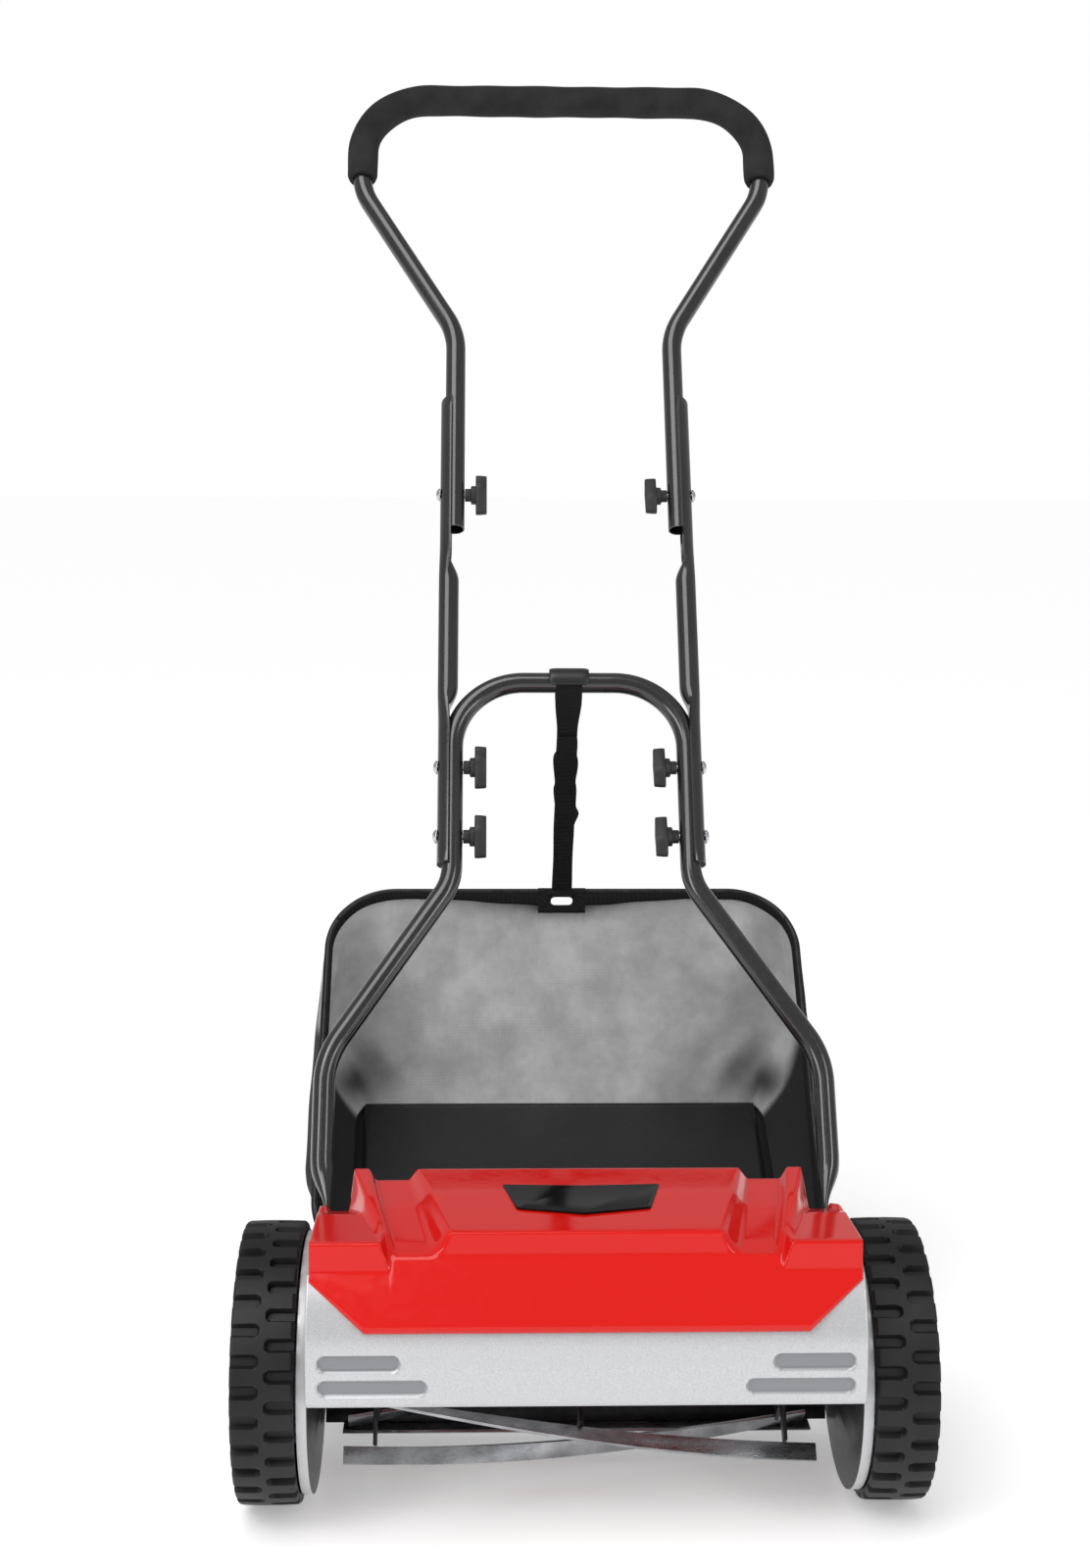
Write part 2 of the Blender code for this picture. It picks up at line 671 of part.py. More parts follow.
for side_name, side in SIDES:
    x = side * SCREW_X
    head_top = KNIFE_UNDER - GAP
    screw = add_part("knife_screw_" + side_name,
                     upright("screw", x, head_top - 2.5 * MM, head_top, 5 * MM, 12),
                     STEEL, 0.3, 0.9, pivot=(0.0, *KNIFE_PIVOT))
    shank = upright("shank", x, head_top - 1 * MM, SCREW_TOP, 2.5 * MM, 12)
    cut(screw, cutter("screw_shank_" + side_name, shank), "UNION")
    hole = upright("screw_hole", x, 10 * MM, SCREW_TOP + 1 * MM, 2.8 * MM, 12)
    hole_tool = cutter("screw_hole_" + side_name, hole)
    cut(knife, hole_tool)
    cut(carrier, hole_tool)

# ---------------------------------------------------------------- rear roller and its brackets

ROLLER = (ROLLER_Y, ROLLER_RADIUS)
ROLLER_HALF = 196 * MM
ROLLER_SHAFT_RADIUS = 5 * MM
ROLLER_SHAFT_HALF = 208 * MM
BRACKET_X = (207 * MM, 210.7 * MM)
STUD_RADIUS = 4 * MM
chamfer = 1 * MM
roller_bore = ROLLER_SHAFT_RADIUS + GAP
roller_profile = [(-ROLLER_HALF, roller_bore), (-ROLLER_HALF, ROLLER_RADIUS - chamfer),
                  (-ROLLER_HALF + chamfer, ROLLER_RADIUS), (ROLLER_HALF - chamfer, ROLLER_RADIUS),
                  (ROLLER_HALF, ROLLER_RADIUS - chamfer), (ROLLER_HALF, roller_bore)]
add_part("roller", turned("roller", roller_profile, (0.0, *ROLLER), 32, closed=True),
         BLACK, 0.6, pivot=(0.0, *ROLLER))
add_part("roller_shaft",
         rod("roller_shaft", -ROLLER_SHAFT_HALF, ROLLER_SHAFT_HALF, ROLLER_SHAFT_RADIUS, ROLLER),
         STEEL, 0.3, 0.9)

for side_name, side in SIDES:
    low, high = span(side, *BRACKET_X)
    outline = [(ROLLER_Y + y * MM, z * MM)
               for y, z in ((-15, 22), (-9, 10), (9, 10), (15, 22), (12, 72), (-12, 72))]
    holes = [circle(ROLLER, roller_bore, 16), circle(CLAMP_STUD, STUD_RADIUS + GAP, 12)]
    add_part("roller_bracket_" + side_name, plate("bracket", [outline] + holes, low, high),
             DARK_STEEL, 0.4, 0.8)

# ---------------------------------------------------------------- wing knobs and bolts


def wing_knob(name, root, outward, wing, bore_depth, stud=0.0):
    """A knob with a round neck and two wings; a stud or a blind bore runs down its axis.

    root is the middle of the neck's end, outward the knob's axis and wing the wings' direction.
    """
    third = np.cross(outward, wing)
    half = 19.5 * MM
    outline = []
    for sign in (1, -1):
        for a, b in ((half, -1.5), (half, 5.5), (half - 7 * MM, 7.0), (9 * MM, 8.6), (4 * MM, 9.6)):
            outline.append((sign * a, sign * b * MM))
    rings = []
    for height, scale in ((7 * MM, 1.0), (21 * MM, 0.97)):
        centre = root + outward * height
        rings.append([centre + wing * a * scale + third * b * scale for a, b in outline])
    head = loft(name, rings)
    angles = np.linspace(0, 2 * math.pi, 17)[:-1]

    def disc(height, radius):
        centre = root + outward * height
        return [centre + radius * (wing * math.cos(a) + third * math.sin(a)) for a in angles]

    neck = loft(name + "_neck", [disc(0.0, 6.2 * MM), disc(12 * MM, 6.2 * MM)])
    knob = add_part(name, head, (0.06, 0.06, 0.062), 0.5, pivot=root)
    cut(knob, cutter(name + "_neck", neck), "UNION")
    if stud:
        pin = loft(name + "_stud", [disc(-stud, STUD_RADIUS), disc(3 * MM, STUD_RADIUS)])
        cut(knob, cutter(name + "_stud", pin), "UNION")
    else:
        bore = loft(name + "_bore", [disc(-5 * MM, BOLT_HOLE), disc(bore_depth, BOLT_HOLE)])
        cut(knob, cutter(name + "_bore", bore))
    return knob


HANDLE_UP = on_handle(0.0, 1.0) - on_handle(0.0, 0.0)
CLAMP_NAMES = ("low", "middle", "upper")
TUBE_FACE = WAIST_X - TUBE_RADIUS
SADDLE_OUTER = TUBE_RADIUS + GAP + SADDLE_THICK
KNOB_BORE = 16 * MM

for side_name, side in SIDES:
    for clamp, s in zip(CLAMP_NAMES, CLAMP_S):
        root = on_handle(side * (TUBE_FACE - GAP), s)
        inward = np.array((-side, 0.0, 0.0))
        wing_knob("knob_%s_%s" % (clamp, side_name), root, inward, HANDLE_UP, KNOB_BORE)
        centre = on_handle(0.0, s)
        seat = (WAIST_X + SADDLE_OUTER + GAP) / MM
        tip = (TUBE_FACE - GAP - KNOB_BORE + 0.5 * MM) / MM
        bolt = [(tip, 0.0), (tip, 3), (seat, 3), (seat, 6.2), (seat + 2, 5.4), (seat + 3.4, 3),
                (seat + 3.8, 0.0)]
        profile = mirrored([(x * MM, r * MM) for x, r in bolt], side)
        add_part("bolt_%s_%s" % (clamp, side_name), turned("bolt", profile, centre, 12),
                 STEEL, 0.25, 0.9)

    stud_root = np.array((side * (PLATE_OUTER_X + GAP), *CLAMP_STUD))
    outward = np.array((side, 0.0, 0.0))
    wing_knob("height_knob_" + side_name, stud_root, outward, np.array((0.0, 0.0, 1.0)), 0.0,
              stud=PLATE_OUTER_X - 207.5 * MM)

    pivot_bolt = [(200.6, 0.0), (200.9, 6), (204.6, 7), (204.6, 4), (219.3, 4), (219.3, 0.0)]
    profile = mirrored([(x * MM, r * MM) for x, r in pivot_bolt], side)
    add_part("pivot_bolt_" + side_name, turned("pivot_bolt", profile, (0.0, *PIVOT), 16),
             STEEL, 0.25, 0.9)

# ---------------------------------------------------------------- handle tubes


def hollow_tube(name, rings, wall):
    """A tube skinned over open rings and thickened inwards, open at both ends."""
    mesh = loft(name, rings, capped=False)
    blank = bpy.data.objects.new(name + "_skin", mesh)
    bpy.context.scene.collection.objects.link(blank)
    solidify = blank.modifiers.new("wall", "SOLIDIFY")
    solidify.thickness = wall
    solidify.offset = -1.0
    solidify.use_even_offset = True
    return evaluated(blank)


def both_sides(path, sections):
    """A path and its sections on the right side, run over to their mirror images on the left."""
    left = path[::-1] * np.array((-1.0, 1.0))
    return np.vstack((path, left)), sections + sections[::-1]


def handle_tube(name, flat_path, sections, wall):
    """A hollow tube along a path of (x, s) points in the handle's plane."""
    path = np.array([on_handle(x, s) for x, s in flat_path])
    rings = tube_rings(path, [HANDLE_NORMAL] * len(path), sections)
    return hollow_tube(name, rings, wall)


ROUND = stadium(TUBE_RADIUS, TUBE_RADIUS, TUBE_SIDES)
FLAT = stadium(2.6 * MM, 13.5 * MM, TUBE_SIDES)
HALF_FLAT = stadium(5.5 * MM, 11.8 * MM, TUBE_SIDES)

lower_bends = rounded_path(
    [(LEG_X, 98 * MM), (LEG_X, LEG_TOP_S), (WAIST_X, WAIST_S), (WAIST_X, ARCH_S), (0.0, ARCH_S)],
    [75 * MM, 50 * MM, ARCH_CORNER], [3, 3, 6])[:-1]
lower_right = np.vstack(([(LEG_END_X, -16 * MM), (LEG_END_X, 60 * MM),
                          ((LEG_X + LEG_END_X) / 2, 80 * MM)], lower_bends))
lower_sections = [FLAT, FLAT, HALF_FLAT] + [ROUND] * len(lower_bends)
lower_path, lower_sections = both_sides(lower_right, lower_sections)
lower = add_part("lower_handle", handle_tube("lower_handle", lower_path, lower_sections, TUBE_WALL),
                 BLACK, 0.3, 0.6, pivot=(0.0, *PIVOT))

upper_right = rounded_path(
    [(WAIST_X, UPPER_END_S), (WAIST_X, UPPER_WAIST_S), (GRIP_X, GRIP_LOW_S), (GRIP_X, GRIP_S),
     (0.0, GRIP_S)],
    [75 * MM, 72 * MM, GRIP_CORNER], [3, 4, 6])[:-1]
upper_path, upper_sections = both_sides(upper_right, [ROUND] * len(upper_right))
fold_axis = on_handle(0.0, CLAMP_S[2])
upper = add_part("upper_handle", handle_tube("upper_handle", upper_path, upper_sections, TUBE_WALL),
                 BLACK, 0.3, 0.6, pivot=fold_axis)

foam_right = np.array([(x, s) for x, s in upper_right if s > FOAM_END_S])
foam_start = np.array([(np.interp(FOAM_END_S, upper_right[:, 1], upper_right[:, 0]), FOAM_END_S)])
foam_right = np.vstack((foam_start, foam_right))
foam_section = stadium(FOAM_RADIUS, FOAM_RADIUS, TUBE_SIDES)
foam_path, foam_sections = both_sides(foam_right, [foam_section] * len(foam_right))
add_part("foam_grip", handle_tube("foam_grip", foam_path, foam_sections,
                                  FOAM_RADIUS - TUBE_RADIUS - 0.45 * MM),
         RUBBER, 0.95, pivot=fold_axis)


def saddle_ring():
    """Offsets (x, n) round a tube end dished to sit against its neighbour."""
    inner = TUBE_RADIUS + GAP
    outer = inner + SADDLE_THICK
    arc = np.linspace(-SADDLE_SPAN, SADDLE_SPAN, 8)
    ring = [(WAIST_X + outer * math.cos(a), outer * math.sin(a)) for a in arc]
    return ring + [(WAIST_X + inner * math.cos(a), inner * math.sin(a)) for a in arc[::-1]]


def round_ring():
    """Offsets (x, n) round the tube where it is still round, in the same order."""
    front = np.linspace(-math.radians(79), math.radians(79), 8)
    back = np.linspace(math.radians(101), math.radians(259), 8)
    angles = np.concatenate((front, back))
    return [(MID_X + TUBE_RADIUS * math.cos(a), TUBE_RADIUS * math.sin(a)) for a in angles]


def mid_tube_rings(side):
    """Rings from the lower saddle through the round middle to the upper saddle."""
    saddle, plain = np.array(saddle_ring()), np.array(round_ring())
    lower_blend = (500 * MM, 540 * MM)
    upper_blend = (650 * MM, 690 * MM)
    stations = [MID_S[0], *np.linspace(*lower_blend, 5), *np.linspace(*upper_blend, 5), MID_S[1]]
    rings = []
    for s in stations:
        if s < (lower_blend[1] + upper_blend[0]) / 2:
            share = np.clip((s - lower_blend[0]) / (lower_blend[1] - lower_blend[0]), 0, 1)
        else:
            share = np.clip((upper_blend[1] - s) / (upper_blend[1] - upper_blend[0]), 0, 1)
        share = share * share * (3 - 2 * share)
        ring = saddle + (plain - saddle) * share
        rings.append([on_handle(side * x, s, n) for x, n in ring])
    return rings


for side_name, side in SIDES:
    mid = add_part("mid_tube_" + side_name, loft("mid_tube", mid_tube_rings(side)), BLACK, 0.3, 0.6,
                   pivot=(0.0, *PIVOT))
    x_low, x_high = span(side, TUBE_FACE - 20 * MM, WAIST_X + SADDLE_OUTER + 20 * MM)
    for clamp, s in zip(CLAMP_NAMES, CLAMP_S):
        hole = on_handle(0.0, s)
        drill_mesh = rod("drill", x_low, x_high, BOLT_HOLE, (hole[1], hole[2]), 12)
        drill = cutter("drill_%s_%s" % (clamp, side_name), drill_mesh)
        cut(mid, drill)
        cut(upper if clamp == "upper" else lower, drill)
    x_low, x_high = span(side, 195 * MM, 225 * MM)
    pivot_drill = cutter("pivot_drill_" + side_name,
                         rod("pivot_drill", x_low, x_high, 4.3 * MM, PIVOT, 16))
    cut(lower, pivot_drill)

# ---------------------------------------------------------------- grass bag


def bag_width(y):
    """Half the bag's width at its floor, from the front lip to the heel."""
    share = (y - BAG_FRONT[0]) / (BAG_HEEL[0] - BAG_FRONT[0])
    return BAG_FRONT_X + (BAG_FLOOR_X - BAG_FRONT_X) * share


def mouth_point(share, x):
    """A point of the mouth's sloping plane, 0 at the front hooks and 1 at the rim."""
    y = BAG_FRONT[0] + (BAG_RIM[0] - BAG_FRONT[0]) * share
    z = BAG_FRONT[1] + (BAG_RIM[1] - BAG_FRONT[1]) * share
    return np.array((x, y, z))


slope = np.array((0.0, BAG_RIM[0] - BAG_FRONT[0], BAG_RIM[1] - BAG_FRONT[1]))
slope_length = float(np.linalg.norm(slope))
MOUTH_NORMAL = np.array((0.0, -slope[2], slope[1])) / slope_length


def mouth_path(steps):
    """(x, share) points up the right edge of the mouth, round its corner and to the middle."""
    half_rim = BAG_RIM_X - RIM_WIRE
    flat = rounded_path([(BAG_FRONT_X, 0.0), (half_rim, BAG_SHOULDER), (half_rim, slope_length),
                         (0.0, slope_length)], [70 * MM, BAG_CORNER], [3, steps])[:-1]
    return [(x, distance / slope_length) for x, distance in flat]


# The wire lies just over the edge of the cloth and carries it.
wire_right = [mouth_point(share, x) + MOUTH_NORMAL * (RIM_WIRE + BAG_WALL)
              for x, share in mouth_path(6)]
hook_radius = REAR_BAR_RADIUS + RIM_WIRE + 2 * GAP
hook_right = [np.array((BAG_FRONT_X, REAR_BAR[0] + hook_radius * math.cos(angle),
                        REAR_BAR[1] + hook_radius * math.sin(angle)))
              for angle in np.radians(np.linspace(205, 45, 6))]
wire_path = np.array(hook_right + wire_right)
wire_path = np.vstack((wire_path, wire_path[::-1] * np.array((-1.0, 1.0, 1.0))))
wire_ring = stadium(RIM_WIRE, RIM_WIRE, 8)
wire = loft("bag_frame", tube_rings(wire_path, carried_normals(wire_path, (1.0, 0.0, 0.0)),
                                    [wire_ring] * len(wire_path)))
BAG_PIVOT = (0.0, *REAR_BAR)
add_part("bag_frame", wire, DARK_STEEL, 0.4, 0.8, pivot=BAG_PIVOT)


LIP_DROP = 14 * MM            # from the front hooks down to the floor's lip
SIDE_BULGE = 22 * MM
BACK_BULGE = 7 * MM


def floor_line(share):
    """(y, z) along the bag's floor, 0 at its front lip and 1 at its heel."""
    lip = np.array((BAG_FRONT[0], BAG_FRONT[1] - LIP_DROP))
    return lip + (np.array(BAG_HEEL) - lip) * share


def bag_grid():
    """Columns of the bag's cloth: from the mouth's edge, down the side or back, to the floor."""
    edge = mouth_path(4)
    shoulder, corner = edge[4], edge[5]
    straight = [(shoulder[0], shoulder[1] + (corner[1] - shoulder[1]) * t) for t in (0.3, 0.65)]
    right = edge[:5] + straight + edge[5:]
    columns = []
    for x, share in right:
        top = mouth_point(share, x)
        floor_share = min(share / 0.93, 1.0)
        floor_y, floor_z = floor_line(floor_share)
        across = 1.0 if share < 0.5 else x / (BAG_RIM_X - RIM_WIRE)
        floor = np.array((across * bag_width(floor_y), floor_y, floor_z))
        on_back = x < BAG_RIM_X - BAG_CORNER
        side_bulge = 0.0 if on_back else SIDE_BULGE * min(share / 0.4, 1.0) * np.sign(x)
        bulge = np.array((side_bulge, BACK_BULGE * floor_share * on_back, 0.0))
        columns.append([top, (top + floor) / 2 + bulge, floor])
    return columns


right_columns = bag_grid()
left_columns = [[point * np.array((-1.0, 1.0, 1.0)) for point in column]
                for column in reversed(right_columns)]
wall_columns = right_columns + left_columns


def bag_mesh():
    """The cloth as an open-mouthed shell: its walls, and a floor that closes them below."""
    work = bmesh.new()
    rows = [[work.verts.new(point) for point in column] for column in wall_columns]
    for low, high in zip(rows, rows[1:]):
        for i in range(len(low) - 1):
            work.faces.new((low[i], low[i + 1], high[i + 1], high[i]))
    half = len(right_columns)
    for i in range(half - 1):
        j = len(rows) - 1 - i
        work.faces.new((rows[i][-1], rows[j][-1], rows[j - 1][-1], rows[i + 1][-1]))
    bmesh.ops.recalc_face_normals(work, faces=work.faces)
    mesh = bpy.data.meshes.new("bag_cloth")
    work.to_mesh(mesh)
    work.free()
    blank = bpy.data.objects.new("bag_sheet", mesh)
    bpy.context.scene.collection.objects.link(blank)
    solidify = blank.modifiers.new("wall", "SOLIDIFY")
    solidify.thickness = BAG_WALL
    solidify.offset = -1.0
    solidify.use_even_offset = True
    return evaluated(blank)


add_part("bag_cloth", bag_mesh(), (0.3, 0.3, 0.3), 0.9, pivot=BAG_PIVOT)

# The stiff plastic floor lies inside the cloth.
tray_rings = []
for y_share in (0.04, 0.96):
    y, z = floor_line(y_share)
    z += BAG_WALL + 3 * GAP
    half = bag_width(y) - 8 * MM
    top = z + FLOOR_THICK
    tray_rings.append([(half, y, z), (half, y, top), (-half, y, top), (-half, y, z)])
add_part("bag_floor", loft("bag_floor", tray_rings), BLACK, 0.5, pivot=BAG_PIVOT)

# ---------------------------------------------------------------- strap

arch = on_handle(0.0, ARCH_S)
rim_top = mouth_point(1.0, 0.0) + MOUTH_NORMAL * (2 * RIM_WIRE + BAG_WALL + GAP)
down = rim_top - arch
down /= np.linalg.norm(down)
across = np.array((0.0, -down[2], down[1]))
wrap_radius = TUBE_RADIUS + 2 * GAP
strap_line = []
for i in range(11):
    angle = math.radians(200 - 290 * i / 10)
    direction = -down * math.sin(angle) + across * math.cos(angle)
    strap_line.append((arch + direction * wrap_radius, direction))
strap_line.append((arch + down * 40 * MM + across * 1.5 * MM, across))
strap_line.append((rim_top - down * 2 * MM, across))
strap_rings = []
for point, direction in strap_line:
    outer = point + direction * STRAP_THICK
    half = STRAP_WIDTH / 2
    strap_rings.append([(-half, point[1], point[2]), (half, point[1], point[2]),
                        (half, outer[1], outer[2]), (-half, outer[1], outer[2])])
add_part("strap", loft("strap", strap_rings), (0.012, 0.012, 0.012), 0.9, pivot=arch)
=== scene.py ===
"""A push reel mower with a grass bag: the looks of its pieces, built round the fixed frame."""
import json
import math

import bmesh
import bpy
import numpy as np
from mathutils import Matrix


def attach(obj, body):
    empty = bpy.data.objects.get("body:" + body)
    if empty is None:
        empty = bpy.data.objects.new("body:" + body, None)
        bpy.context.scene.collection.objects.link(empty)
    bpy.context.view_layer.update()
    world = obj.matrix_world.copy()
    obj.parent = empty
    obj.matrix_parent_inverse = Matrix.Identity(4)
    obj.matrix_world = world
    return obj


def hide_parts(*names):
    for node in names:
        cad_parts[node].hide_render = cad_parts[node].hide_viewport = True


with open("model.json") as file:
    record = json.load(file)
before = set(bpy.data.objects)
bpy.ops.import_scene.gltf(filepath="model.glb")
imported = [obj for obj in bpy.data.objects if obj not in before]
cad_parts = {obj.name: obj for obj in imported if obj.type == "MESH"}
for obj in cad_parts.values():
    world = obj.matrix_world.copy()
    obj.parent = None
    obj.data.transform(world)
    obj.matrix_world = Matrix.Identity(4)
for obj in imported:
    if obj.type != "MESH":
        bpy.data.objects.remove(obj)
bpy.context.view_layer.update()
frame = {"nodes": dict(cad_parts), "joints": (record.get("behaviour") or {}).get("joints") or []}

# ------------------------------------------------------------------ camera, floor and light
# The mower stands on a pale seamless floor in a white studio. A large soft lamp stands high on
# either side, and a broad sun shines from overhead.
scene = bpy.context.scene
scene.view_settings.view_transform = "Standard"

CAMERA_PLACE = (-0.0743, -1.848, 0.8274)
YAW, PITCH, ROLL = math.radians(1.59), math.radians(9.04), math.radians(0.3)
LENS, SENSOR = 47.25, 36.0

forward = np.array((math.sin(YAW) * math.cos(PITCH), math.cos(YAW) * math.cos(PITCH), -math.sin(PITCH)))
level = np.array((math.cos(YAW), -math.sin(YAW), 0.0))
upward = np.cross(level, forward)
right = math.cos(ROLL) * level + math.sin(ROLL) * upward
up = -math.sin(ROLL) * level + math.cos(ROLL) * upward

camera = bpy.data.objects.new("camera", bpy.data.cameras.new("camera"))
camera.data.lens = LENS
camera.data.sensor_width = SENSOR
turn = Matrix(np.column_stack((right, up, -forward)).tolist()).to_4x4()
camera.matrix_world = Matrix.Translation(CAMERA_PLACE) @ turn
scene.collection.objects.link(camera)
scene.camera = camera


def linear(hex_colour):
    """An sRGB colour such as "E5211A" as linear red, green, blue and alpha."""
    channels = np.array([int(hex_colour[i:i + 2], 16) for i in (0, 2, 4)]) / 255
    low = channels / 12.92
    high = ((channels + 0.055) / 1.055) ** 2.4
    return (*np.where(channels <= 0.04045, low, high).tolist(), 1.0)


def add_node(tree, kind, inputs=None, **settings):
    """One node, its settings, and its sockets: each takes a value or the socket that feeds it."""
    node = tree.nodes.new(kind)
    for key, value in settings.items():
        setattr(node, key, value)
    for socket, value in (inputs or {}).items():
        if isinstance(value, bpy.types.NodeSocket):
            tree.links.new(value, node.inputs[socket])
        else:
            node.inputs[socket].default_value = value
    return node


def finish(name, colour, roughness, metallic=0.0, **extra):
    """A Principled material of one even finish, whose pattern is added after it."""
    made = bpy.data.materials.new(name)
    made.use_nodes = True
    shader = made.node_tree.nodes["Principled BSDF"]
    shader.inputs["Base Color"].default_value = linear(colour)
    shader.inputs["Roughness"].default_value = roughness
    shader.inputs["Metallic"].default_value = metallic
    for socket, value in extra.items():
        shader.inputs[socket.replace("_", " ")].default_value = value
    return made, made.node_tree, shader


def textured(tree, shader, size, height, rough=None, detail=3.0, stretch=(1.0, 1.0, 1.0)):
    """Grain of a size in metres that stands a height proud, and varies the roughness with it."""
    place = add_node(tree, "ShaderNodeTexCoord").outputs["Object"]
    mapped = add_node(tree, "ShaderNodeMapping", {"Vector": place, "Scale": stretch})
    noise = add_node(tree, "ShaderNodeTexNoise",
                     {"Vector": mapped.outputs["Vector"], "Scale": 1 / size, "Detail": detail})
    bump = add_node(tree, "ShaderNodeBump",
                    {"Height": noise.outputs["Fac"], "Distance": height, "Strength": 1.0})
    tree.links.new(bump.outputs["Normal"], shader.inputs["Normal"])
    if rough:
        spread = add_node(tree, "ShaderNodeMapRange",
                          {"Value": noise.outputs["Fac"], "From Min": 0.3, "From Max": 0.7,
                           "To Min": rough[0], "To Max": rough[1]})
        tree.links.new(spread.outputs["Result"], shader.inputs["Roughness"])
    return noise


def mottled(tree, shader, size, dark, light, detail=4.0):
    """A colour that wanders between two shades in patches of a size in metres."""
    place = add_node(tree, "ShaderNodeTexCoord").outputs["Object"]
    noise = add_node(tree, "ShaderNodeTexNoise",
                     {"Vector": place, "Scale": 1 / size, "Detail": detail})
    shades = add_node(tree, "ShaderNodeValToRGB", {"Fac": noise.outputs["Fac"]})
    shades.color_ramp.elements[0].position = 0.32
    shades.color_ramp.elements[0].color = linear(dark)
    shades.color_ramp.elements[1].position = 0.68
    shades.color_ramp.elements[1].color = linear(light)
    tree.links.new(shades.outputs["Color"], shader.inputs["Base Color"])
    return shades


FLOOR_HALF = 40.0
floor_mesh = bpy.data.meshes.new("floor")
corners = [(x * FLOOR_HALF, y * FLOOR_HALF, 0.0) for x, y in ((-1, -1), (1, -1), (1, 1), (-1, 1))]
floor_mesh.from_pydata(corners, [], [(0, 1, 2, 3)])
floor_paint, _, _ = finish("pale_floor", "F4F4F4", 0.9, Emission_Strength=0.3,
                           Emission_Color=(1.0, 1.0, 1.0, 1.0))
floor_mesh.materials.append(floor_paint)
studio_floor = bpy.data.objects.new("floor", floor_mesh)
scene.collection.objects.link(studio_floor)

world = bpy.data.worlds.new("studio")
scene.world = world
world.use_nodes = True
sky = world.node_tree.nodes["Background"]
seen = add_node(world.node_tree, "ShaderNodeLightPath").outputs["Is Camera Ray"]
shade = add_node(world.node_tree, "ShaderNodeMapRange", {"Value": seen, "To Min": 0.42, "To Max": 1.0})
sky.inputs["Color"].default_value = linear("FFFFFF")
world.node_tree.links.new(shade.outputs["Result"], sky.inputs["Strength"])


def lamp(name, kind, energy, place, aim, **sizes):
    """A soft lamp at a place, turned to its aim."""
    light = bpy.data.lights.new(name, kind)
    light.energy = energy
    for key, value in sizes.items():
        setattr(light, key, value)
    holder = bpy.data.objects.new(name, light)
    direction = Matrix.Translation(aim).translation - Matrix.Translation(place).translation
    holder.matrix_world = Matrix.Translation(place) @ direction.to_track_quat("-Z", "Y").to_matrix().to_4x4()
    scene.collection.objects.link(holder)


MIDDLE = (0.0, 0.0, 0.5)
lamp("overhead", "SUN", 1.25, (-0.8, -1.0, 3.0), MIDDLE, angle=math.radians(40))
lamp("key_box", "AREA", 19, (-1.9, -1.7, 1.7), MIDDLE, shape="RECTANGLE", size=0.7, size_y=1.8)
lamp("fill_box", "AREA", 15, (1.9, -1.9, 1.5), MIDDLE, shape="RECTANGLE", size=0.6, size_y=1.8)

# ------------------------------------------------------------------ wheels
# Each wheel is a moulded silver plastic rim with ribs, a black rubber tyre pressed over it and a
# domed silver cap over the hub. The tyre has two staggered rows of blocks and a middle rib.
MM = 0.001
SIDES = (("left", -1.0), ("right", 1.0))
joint_place = {j["name"]: np.array(j.get("pos_m", (0, 0, 0))) for j in frame["joints"]}
AXLE = joint_place["wheel_left_spin"]


def smoothstep(low, high, value):
    """0 below low, 1 above high, and a smooth S between them."""
    share = np.clip((value - low) / (high - low), 0.0, 1.0)
    return share * share * (3 - 2 * share)


def skin(name, points, around=False, capped=False, closed=True, uv=None, crease=38.0):
    """A mesh over a grid of points, row by row.

    around joins each row's last point to its first.  capped closes the first and last rows with
    a ladder of faces from one half of the ring to the other.  A closed shape has its poles merged
    and its faces turned outwards.  uv holds a place on the cloth for each point.
    """
    rows, columns = points.shape[:2]
    index = np.arange(rows * columns).reshape(rows, columns)
    ahead = np.roll(index, -1, axis=1)
    last = columns if around else columns - 1
    quads = np.stack((index[:-1, :last], ahead[:-1, :last], ahead[1:, :last], index[1:, :last]), -1)
    faces = quads.reshape(-1, 4)
    if capped:
        i = np.arange(columns // 2 - 1)
        for ring, order in ((index[0], -1), (index[-1], 1)):
            ladder = np.stack((ring[i], ring[i + 1], ring[columns - 2 - i], ring[columns - 1 - i]), -1)
            faces = np.vstack((faces, ladder[:, ::order]))
    mesh = bpy.data.meshes.new(name)
    mesh.from_pydata(points.reshape(-1, 3), [], faces)
    if uv is not None:
        spread = np.stack((uv[:-1, :last], uv[:-1, 1:last + 1], uv[1:, 1:last + 1], uv[1:, :last]), -2)
        flat = np.zeros((len(faces) * 4, 2))
        flat[:spread.size // 2] = spread.reshape(-1, 2)
        mesh.uv_layers.new(name="weave").uv.foreach_set("vector", flat.ravel())
    if closed:
        work = bmesh.new()
        work.from_mesh(mesh)
        bmesh.ops.remove_doubles(work, verts=work.verts, dist=1e-6)
        bmesh.ops.recalc_face_normals(work, faces=work.faces)
        work.to_mesh(mesh)
        work.free()
    mesh.shade_smooth()
    mesh.set_sharp_from_angle(angle=math.radians(crease))
    return mesh


def add_piece(name, mesh, material, body, *nodes, slot=None):
    """Put a finished mesh on its body; it stands for the CAD nodes named."""
    mesh.materials.append(material)
    made = bpy.data.objects.new(name, mesh)
    scene.collection.objects.link(made)
    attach(made, body)
    if nodes:
        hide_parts(*nodes)
    return made


